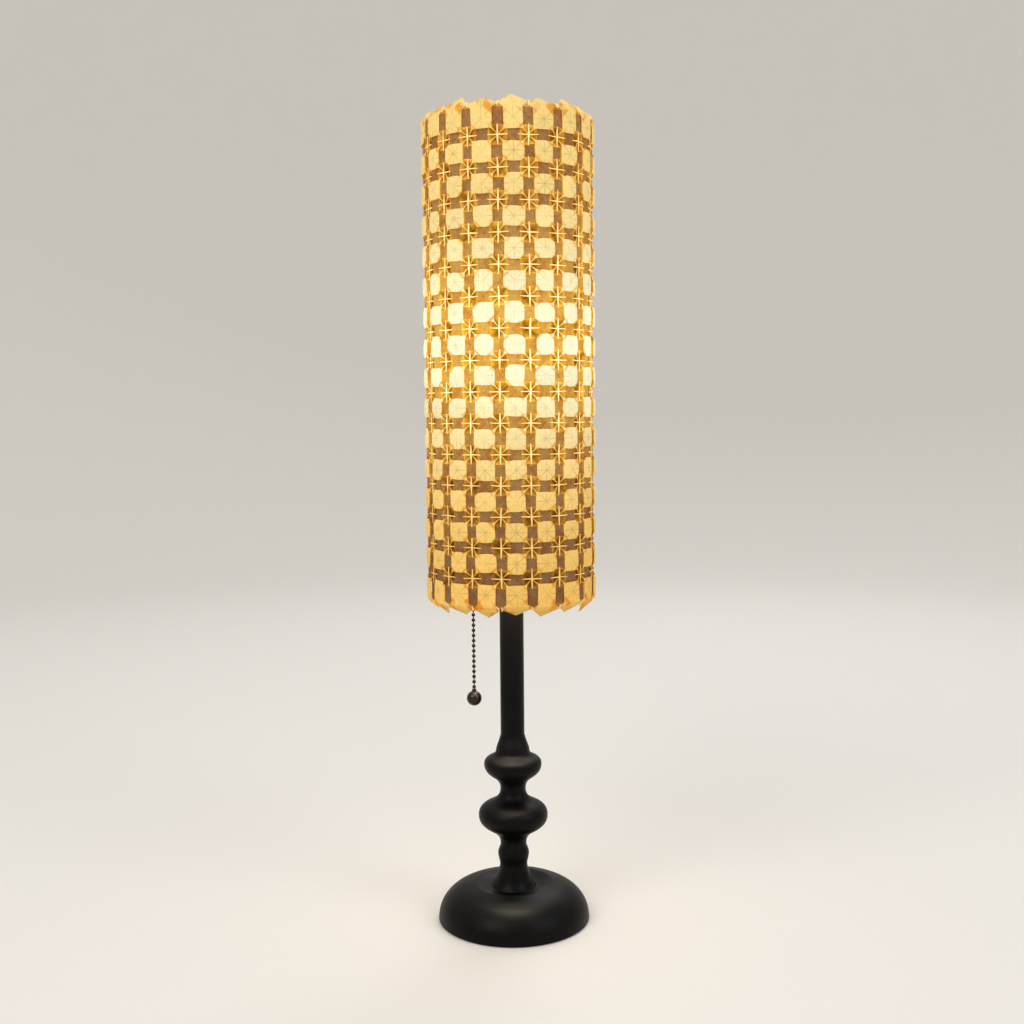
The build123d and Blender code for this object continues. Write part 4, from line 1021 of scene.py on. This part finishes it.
# Columns of points on a free end, where its rim lies, outwards from the panels' plane, how far its
# two sides lie apart, and the gap beside a tip's foot
TIP_COLUMNS = 9
TIP_START = -0.25 * MM
TIP_LAYER = 0.4 * MM
TIP_GAP = 0.5 * MM

# Above this height, in millimetres, the fold coordinates rise no more, so that the tip is tinted
# like the rim of a panel
TIP_FOLD_TOP = 9.0

# The pillow of a free end's panel is full this far above its foot
PILLOW_RISE = 3 * MM


def tip_half_width(sizes, height, cut, notch_half):
    """Half the width of a free end's paper at a height: panel, flare to the notches, then tip."""
    if height > sizes.notch_height:
        return notch_half * (sizes.notch_height + sizes.tip_height - height) / sizes.tip_height
    above = height + sizes.panel_half_height
    half = sizes.panel_half_width - max(cut - above, 0.0)
    if height > sizes.flare_height:
        flare = (height - sizes.flare_height) / (sizes.notch_height - sizes.flare_height)
        half += (notch_half - half) * flare
    return half


def add_tip(paper, lattice, row, column, end):
    """A free end of the shade: the panel's paper flares to the notches and folds in to a point."""
    sizes = lattice.sizes
    module = lattice.modules[row, column]
    chance = draws(TIP_SEED, row, column)
    much = sizes.unevenness
    lean = math.radians(LEAN + LEAN_STRAY * chance.uniform(-1, 1) * much)
    twist = TWIST_STRAY * chance.uniform(-1, 1) * much
    curl = CURL_STRAY * chance.uniform(-1, 1) * much
    base = -sizes.panel_half_height
    cuts = [module["cuts"][side, -end][0] for side in (-1, 1)]
    heights = [base, base + 1.3 * MM, base + cuts[0], *(height * MM for height in PANEL_HEIGHTS)]
    heights += [sizes.flare_height, FLARED_HEIGHT * MM, sizes.notch_height]
    heights += [*(height * MM for height in TIP_HEIGHTS), sizes.notch_height + sizes.tip_height]
    notch_half = lattice.apothem * math.tan(lattice.step / 2) - TIP_GAP
    fronts, backs, marks = [], [], []
    y, z, before = 0.0, base, base
    for height in heights:
        share = ((height + before) / 2 - BEND_START) / (BEND_END - BEND_START)
        share = min(max(share, 0.0), 1.0)
        slope = lean * share * share * (3 - 2 * share)
        y -= (height - before) * math.sin(slope)
        z += (height - before) * math.cos(slope)
        before = height
        beyond = max(height - sizes.notch_height, 0.0)
        front, back, line = [], [], []
        for i in range(TIP_COLUMNS):
            aside = 2 * i / (TIP_COLUMNS - 1) - 1
            x = aside * tip_half_width(sizes, height, cuts[aside > 0], notch_half)
            line.append((x / MM, min(height / MM, TIP_FOLD_TOP)))
            over = max(abs(x) - sizes.panel_half_width, 0.0)
            puff = sizes.pillow * (1 - aside * aside) * min(1.0, (height - base) / PILLOW_RISE)
            depth = y + puff + TIP_START - over * math.tan(lattice.step / 2)
            depth -= curl * beyond * abs(aside) / 2
            x, up = lattice.on_module(row, column, x + twist * beyond, end * z)
            front.append(lattice.at(row, column, x, depth, up))
            back.append(lattice.at(row, column, x * 0.995, depth - TIP_LAYER, up))
        fronts.append(front)
        backs.append(back)
        marks.append(line)
    tone = module["tone"]
    # Painted shade: the tip darkens towards its end, and its inside is darker
    dark = (TOP_SHADE_TONE if end > 0 else FOOT_SHADE_TONE) * tone
    stretches = [(0, SHADE_START_ROW, tone), (SHADE_START_ROW, SHADE_END_ROW, (dark + tone) / 2)]
    stretches.append((SHADE_END_ROW, len(heights), dark))
    for first, last, shade in stretches:
        paper.grid(fronts[first : last + 1], marks[first : last + 1], PANEL, shade, flip=end < 0)
    paper.grid(backs, marks, PANEL, tone * INSIDE_SHADE_TONE, flip=end > 0)

    # The cut edges round the sheet
    for side, flip in ((0, end < 0), (-1, end > 0)):
        strip = [[front[side], back[side]] for front, back in zip(fronts, backs)]
        paper.grid(strip, [[(0, EDGE_DEPTH)] * 2] * len(strip), CROSS, 1.0, flip=flip)
    foot = [[(0, EDGE_DEPTH)] * TIP_COLUMNS] * 2
    paper.grid([fronts[0], backs[0]], foot, CROSS, 1.0, flip=end > 0)


def add_free_seam(paper, lattice, row, column, end):
    """Between two tips: the brown square, a recess above it, and a paper edge in the notch."""
    sizes = lattice.sizes
    tone = lattice.modules[row, column]["tone"]
    chance = draws(SEAM_SEED, row, column)
    half = 4.9 * MM
    under = -sizes.panel_rise
    foot = sizes.corner_cut - sizes.panel_half_height
    top = sizes.flare_height + 0.3 * MM

    def spot(x, y, z):
        """A place by its offsets from the seam's middle, with z towards the free end."""
        return lattice.at(row, column, x, y, end * z, seam=True)

    outline = [(-half, foot), (half, foot), (half, top), (-half, top)]
    if end < 0:
        outline = outline[::-1]
    ring = [spot(x, under, z) for x, z in outline]
    marks = [(x / MM, end * z / MM) for x, z in outline]
    add_fan(paper, ring, marks, spot(0, under - 0.1 * MM, 0), tone)
    # Painted shade in the recess, from its depth, darkest at the corner towards the notch
    recess = [
        spot(-half, under, top),
        spot(half, under, top),
        spot(0, -2.2 * MM, sizes.notch_height + 0.6 * MM),
    ]
    paper.face(recess, [(0, 0.05), (0, 0.05), (0, 0.4)], POCKET, tone, flip=end < 0)

    width = 0.4 * MM
    low = sizes.flare_height + 1.4 * MM
    high = sizes.notch_height + 1.4 * MM * chance.uniform(0.5, 1.3)
    tilt = 0.4 * MM * chance.uniform(-1, 1)
    front, back = [
        [
            [spot(edge * width, low_depth, low) for edge in (-1, 1)],
            [spot(tilt + edge * width, high_depth, high) for edge in (-1, 1)],
        ]
        for low_depth, high_depth in ((0.3 * MM, -1.4 * MM), (-1.0 * MM, -2.6 * MM))
    ]
    flat = [[(-0.5, EDGE_DEPTH), (0.5, EDGE_DEPTH)]] * 2
    # Painted light and shade: the edge's front is a little lighter and its back a little darker
    paper.grid(front, flat, CROSS, 1.1, flip=end < 0)
    paper.grid(back, flat, CROSS, 0.9, flip=end > 0)
    for k in (0, 1):
        strip = [[front[0][k], back[0][k]], [front[1][k], back[1][k]]]
        paper.grid(strip, flat, CROSS, 1.0, flip=(k == 0) == (end < 0))
    paper.grid([front[1], back[1]], flat, CROSS, 1.0, flip=end < 0)


class LAMP_OT_paper_shade(bpy.types.Operator):
    """Folds every module of the shade, a row at a time, in place of the plain CAD rows"""

    bl_idname = "lamp.paper_shade"
    bl_label = "Paper shade"

    def execute(self, context):
        lattice = Lattice(context.scene.lamp_shade)
        materials = shade_papers(context.scene.lamp_finish)
        for row, node in enumerate(ROW_NODES):
            paper = FoldedPaper()
            for column in range(lattice.sizes.columns):
                tone = lattice.modules[row, column]["tone"]
                if row in (0, LAST_ROW):
                    end = 1 if row == 0 else -1
                    add_tip(paper, lattice, row, column, end)
                    add_free_seam(paper, lattice, row, column, end)
                else:
                    add_panel(paper, lattice, row, column)
                    add_square(paper, side_square(lattice, row, column), tone, SIDE_SAG)
                if row < LAST_ROW:
                    add_square(paper, end_square(lattice, row, column), tone, END_SAG)
                    add_pocket(paper, lattice, row, column)
            paper.piece(node.replace("paper", "folded"), node, materials)
        return {"FINISHED"}


def dress(material, *nodes):
    """Gives CAD nodes a finish."""
    for node in nodes:
        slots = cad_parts[node].material_slots
        if not slots:
            raise RuntimeError(f"CAD node {node} has no material slot")
        for entry in slots:
            entry.material = material


class LAMP_OT_shade_frame(bpy.types.Operator):
    """Finishes the wire frame, the liner and the finial that hold the paper"""

    bl_idname = "lamp.shade_frame"
    bl_label = "Shade frame"

    def execute(self, context):
        # Powder coat: thick, soft-edged and slightly pebbled, off-white
        powder = coated("white_powder_coat", linear("D8D2C4"), roughness=0.5, grain=0.8, depth=0.03)
        # Parchment: one even sheet, which glows most beside the bulb
        liner = glowing_paper(
            "parchment_liner", linear("DCCDA4"), far="A8782C", near="F0D890", spread=0.09, toned=False
        )
        # Oil-rubbed bronze plate on a turned knob: dark, and browner where fingers hold it
        bronze = coated(
            "oil_rubbed_bronze",
            context.scene.lamp_finish.bronze,
            roughness=0.3,
            grain=1.2,
            depth=0.01,
            metallic=1.0,
            worn="6E5440",
        )
        dress(powder, "shade_spider", "shade_bottom_ring")
        dress(liner, "shade_liner")
        dress(bronze, "finial")
        return {"FINISHED"}


class LAMP_OT_base_and_column(bpy.types.Operator):
    """Finishes the base, what is under it, the turned column and the tube"""

    bl_idname = "lamp.base_and_column"
    bl_label = "Base and column"

    def execute(self, context):
        # Sprayed matt enamel over metal: near black, with a faint orange peel and broad highlights
        paint = coated(
            "matt_black_enamel",
            context.scene.lamp_finish.paint,
            roughness=0.4,
            grain=1.0,
            depth=0.02,
            shine=0.1,
        )
        # Grey cast iron as it leaves the sand: coarse, dull and slightly brown
        iron = coated(
            "sand_cast_iron",
            linear("4A4642"),
            roughness=0.75,
            grain=1.6,
            depth=0.25,
            metallic=0.7,
            worn="5E4A3A",
        )
        # Wool felt: dull and nearly black, with a short nap
        felt = fibrous("wool_felt", linear("1E1D1C"), thread=0.6, depth=0.3)
        # Pressed fibreboard: brown and matt, flecked with its fibres
        board = fibrous("pressed_fibreboard", linear("5A4632"), thread=0.9, depth=0.1)
        # Bright zinc plate on turned and stamped steel: pale grey, with soft highlights
        zinc = coated(
            "zinc_plated_steel", linear("A9AAA6"), roughness=0.32, grain=0.7, depth=0.02, metallic=1.0
        )
        # Moulded nylon: black, with a low even sheen
        nylon = coated("moulded_black_nylon", linear("1B1B1B"), roughness=0.45, grain=0.9, depth=0.02)
        dress(paint, "base_dome", "column", "stem_tube", "tube_cap")
        dress(iron, "base_weight")
        dress(felt, "felt_pad")
        dress(board, "bottom_cover")
        dress(zinc, "lock_washer", "bottom_nut", "threaded_rod")
        dress(nylon, "cord_bushing")
        return {"FINISHED"}


class LAMP_OT_harp(bpy.types.Operator):
    """Finishes the harp, its saddle, sleeves and stud"""

    bl_idname = "lamp.harp"
    bl_label = "Harp"

    def execute(self, context):
        # Brass plate, lacquered and a little aged: warm, with darker drifts
        brass = coated(
            "aged_brass_plate",
            context.scene.lamp_finish.brass,
            roughness=0.3,
            grain=0.8,
            depth=0.01,
            metallic=1.0,
            worn="5A4424",
        )
        # Bright zinc plate on a stamped nut: pale grey, with soft highlights
        zinc = coated(
            "zinc_plated_nut", linear("A9AAA6"), roughness=0.32, grain=0.7, depth=0.02, metallic=1.0
        )
        dress(brass, "harp", "harp_saddle", "harp_stud", "sleeve_front", "sleeve_rear")
        dress(zinc, "saddle_nut")
        return {"FINISHED"}


class LAMP_OT_socket(bpy.types.Operator):
    """Finishes the socket and the switch inside it"""

    bl_idname = "lamp.socket"
    bl_label = "Socket"

    def execute(self, context):
        # Bronze plate on a drawn shell: dark and smooth, browner where it is handled
        bronze = coated(
            "bronze_plated_shell",
            context.scene.lamp_finish.bronze,
            roughness=0.34,
            grain=1.0,
            depth=0.01,
            metallic=1.0,
            worn="6E5440",
        )
        # Insulating card, rolled to a tube: grey-brown, dull and fibrous
        card = fibrous("grey_insulating_card", linear("6B5A48"), thread=0.5, depth=0.05)
        # Compression-moulded phenolic: dark brown, hard and faintly glossy
        phenolic = coated(
            "moulded_phenolic", linear("2B221D"), roughness=0.38, grain=0.8, depth=0.01, coat=0.2
        )
        # Aluminium sheet, rolled to a thread: pale and softly bright
        aluminium = coated(
            "rolled_aluminium", linear("C6C7C6"), roughness=0.33, grain=0.6, depth=0.015, metallic=1.0
        )
        # Bare brass strip and screws: yellow and bright
        brass = coated(
            "bare_brass", linear("B08D4A"), roughness=0.28, grain=0.6, depth=0.01, metallic=1.0
        )
        # Ground steel: grey, with sharp highlights
        steel = coated(
            "ground_steel_pin", linear("9A9A98"), roughness=0.25, grain=0.5, depth=0.005, metallic=1.0
        )
        dress(bronze, "socket_cap", "socket_shell")
        dress(card, "socket_liner")
        dress(phenolic, "socket_body", "switch_drum")
        dress(aluminium, "screw_shell")
        dress(brass, "centre_contact", "terminal_screws")
        dress(steel, "drum_pin")
        return {"FINISHED"}


class LAMP_OT_pull_chain(bpy.types.Operator):
    """Finishes the bead chain, its connector, arm and ball"""

    bl_idname = "lamp.pull_chain"
    bl_label = "Pull chain"

    def execute(self, context):
        # Rolled beads with a dark bronze wash, rubbed brighter on their crowns
        beads = coated(
            "bronze_bead_chain",
            context.scene.lamp_finish.bronze,
            roughness=0.3,
            grain=1.4,
            depth=0.01,
            metallic=1.0,
            worn="5A4634",
        )
        # Cast ball, polished and plated nearly black, so it mirrors the room in small highlights
        ball = coated(
            "polished_bronze_ball",
            linear("2A221D"),
            roughness=0.26,
            grain=2.0,
            depth=0.01,
            metallic=1.0,
            coat=0.4,
        )
        dress(beads, "arm_chain", "socket_chain", "extension_chain", "chain_connector", "chain_arm")
        dress(ball, "pull_ball")
        return {"FINISHED"}


class LAMP_OT_bulb(bpy.types.Operator):
    """Finishes the bulb"""

    bl_idname = "lamp.bulb"
    bl_label = "Bulb"

    def execute(self, context):
        # Aluminium sheet, rolled to a thread: pale and softly bright
        aluminium = coated(
            "threaded_aluminium_cap",
            linear("C6C7C6"),
            roughness=0.35,
            grain=0.6,
            depth=0.02,
            metallic=1.0,
        )
        dress(aluminium, "bulb_cap")
        dress(frosted_glass(), "bulb_glass")
        dress(pressed_glass(), "bulb_stem")
        dress(white_hot_tungsten(), "bulb_filament")
        return {"FINISHED"}


# How finely the studio floor is cut, round the lamp and up its sweep
FLOOR_SECTORS = 72
SWEEP_STEPS = 12


def floor_profile(studio):
    """The (radius, height) points of the floor's section: flat, curved up, and the wall."""
    profile = [(studio.floor_radius, 0.0)]
    for i in range(1, SWEEP_STEPS + 1):
        turn = math.radians(90 * i / SWEEP_STEPS)
        radius = studio.floor_radius + studio.sweep_radius * math.sin(turn)
        profile.append((radius, studio.sweep_radius * (1 - math.cos(turn))))
    profile.append((studio.floor_radius + studio.sweep_radius, studio.wall_height))
    return profile


def add_floor(studio):
    """A round pale floor that curves up to a wall on all sides."""
    points = [(0.0, 0.0, 0.0)]
    faces = []
    for k, (radius, height) in enumerate(floor_profile(studio)):
        for i in range(FLOOR_SECTORS):
            turn = 2 * math.pi * i / FLOOR_SECTORS
            points.append((radius * math.cos(turn), radius * math.sin(turn), height))
            j = (i + 1) % FLOOR_SECTORS
            if k == 0:
                faces.append((0, 1 + i, 1 + j))
            else:
                low, high = 1 + (k - 1) * FLOOR_SECTORS, 1 + k * FLOOR_SECTORS
                faces.append((low + i, high + i, high + j, low + j))
    mesh = bpy.data.meshes.new("studio_floor")
    mesh.from_pydata(points, [], faces)
    mesh.polygons.foreach_set("use_smooth", [True] * len(faces))
    mesh.materials.append(seamless_paper(studio.floor))
    floor = bpy.data.objects.new("studio_floor", mesh)
    bpy.context.scene.collection.objects.link(floor)


def add_lamp(name, place, aim, size, power, hex_colour):
    """A soft round studio lamp that faces a point."""
    light = bpy.data.lights.new(name, "AREA")
    light.shape = "DISK"
    light.energy = power
    light.size = size
    light.color = linear(hex_colour)
    lamp = bpy.data.objects.new(name, light)
    lamp.location = place
    lamp.rotation_euler = (Vector(aim) - Vector(place)).to_track_quat("-Z", "Y").to_euler()
    bpy.context.scene.collection.objects.link(lamp)
    return lamp


def add_lamps():
    """Three studio lamps round the lamp, and the bulb's own light in the mouth of the shade."""
    middle = (0.0, 0.0, 0.35)
    add_lamp("key_lamp", (-1.3, -1.7, 2.0), middle, size=1.8, power=28, hex_colour="FFFCF8")
    add_lamp("fill_lamp", (1.8, -1.3, 1.6), middle, size=1.4, power=14, hex_colour="F8FAFF")
    add_lamp("back_lamp", (0.5, 1.6, 2.0), middle, size=1.4, power=14.5, hex_colour="FFFFFF")
    # The bulb's own light, where it leaves the open bottom of the shade: a faint pool on the floor,
    # and the highlight that the enamel below shows of it
    mouth, foot = (0.0, 0.0, SHADE_MOUTH_Z), (0.0, 0.0, 0.0)
    add_lamp("mouth_light", mouth, foot, size=0.115, power=0.12, hex_colour="FFE2B8")
    glint = add_lamp("mouth_glint", mouth, foot, size=0.115, power=2.0, hex_colour="FFF2DC")
    glint.visible_diffuse = False


def add_world():
    """A pale even light from all round."""
    world = bpy.data.worlds.new("soft_studio")
    world.use_nodes = True
    set_inputs(world.node_tree.nodes["Background"], {"Color": opaque("FBFAF8"), "Strength": 0.67})
    bpy.context.scene.world = world


def add_camera(studio):
    """The camera, where the photograph was taken from."""
    data = bpy.data.cameras.new("photo_camera")
    data.lens = studio.camera_focal
    data.sensor_width = 36.0
    data.clip_start = 0.01
    yaw, pitch, roll = studio.camera_yaw, studio.camera_pitch, studio.camera_roll
    ahead = Vector((math.sin(yaw) * math.cos(pitch), math.cos(yaw) * math.cos(pitch), -math.sin(pitch)))
    level = Vector((math.cos(yaw), -math.sin(yaw), 0.0))
    above = level.cross(ahead)
    right = math.cos(roll) * level + math.sin(roll) * above
    up = math.cos(roll) * above - math.sin(roll) * level
    turn = Matrix((right, up, -ahead)).transposed()
    place = Vector((studio.camera_side, -studio.camera_distance, studio.camera_height))
    camera = bpy.data.objects.new("photo_camera", data)
    camera.matrix_world = Matrix.Translation(place) @ turn.to_4x4()
    bpy.context.scene.collection.objects.link(camera)
    bpy.context.scene.camera = camera


class LAMP_OT_studio(bpy.types.Operator):
    """Makes the pale floor with its sweep, the soft lamps, the world and the camera"""

    bl_idname = "lamp.studio"
    bl_label = "Studio"

    def execute(self, context):
        studio = context.scene.lamp_studio
        add_floor(studio)
        add_lamps()
        add_world()
        add_camera(studio)
        context.scene.view_settings.view_transform = "Standard"
        return {"FINISHED"}


OPERATORS = (
    LAMP_OT_paper_shade,
    LAMP_OT_shade_frame,
    LAMP_OT_base_and_column,
    LAMP_OT_harp,
    LAMP_OT_socket,
    LAMP_OT_pull_chain,
    LAMP_OT_bulb,
    LAMP_OT_studio,
)
SETTINGS = {
    "lamp_shade": LampShadeSettings,
    "lamp_finish": LampFinishSettings,
    "lamp_glow": LampGlowSettings,
    "lamp_studio": LampStudioSettings,
}


class VIEW3D_PT_lamp(bpy.types.Panel):
    """Lists the lamp's operators and settings"""

    bl_idname = "VIEW3D_PT_lamp"
    bl_label = "Folded paper lamp"
    bl_space_type = "VIEW_3D"
    bl_region_type = "UI"
    bl_category = "Lamp"

    def draw(self, context):
        for operator in OPERATORS:
            self.layout.operator(operator.bl_idname)
        for name, group in SETTINGS.items():
            box = self.layout.box()
            box.label(text=group.__doc__)
            for entry in group.__annotations__:
                box.prop(getattr(context.scene, name), entry)


def register():
    for group in SETTINGS.values():
        bpy.utils.register_class(group)
    for name, group in SETTINGS.items():
        setattr(bpy.types.Scene, name, bpy.props.PointerProperty(type=group))
    for entry in OPERATORS + (VIEW3D_PT_lamp,):
        bpy.utils.register_class(entry)


def unregister():
    for entry in (VIEW3D_PT_lamp,) + OPERATORS:
        bpy.utils.unregister_class(entry)
    for name, group in SETTINGS.items():
        delattr(bpy.types.Scene, name)
        bpy.utils.unregister_class(group)


def main():
    register()
    for operator in OPERATORS:
        group, name = operator.bl_idname.split(".")
        getattr(getattr(bpy.ops, group), name)()
    bpy.context.view_layer.update()


if __name__ == "__main__":
    main()
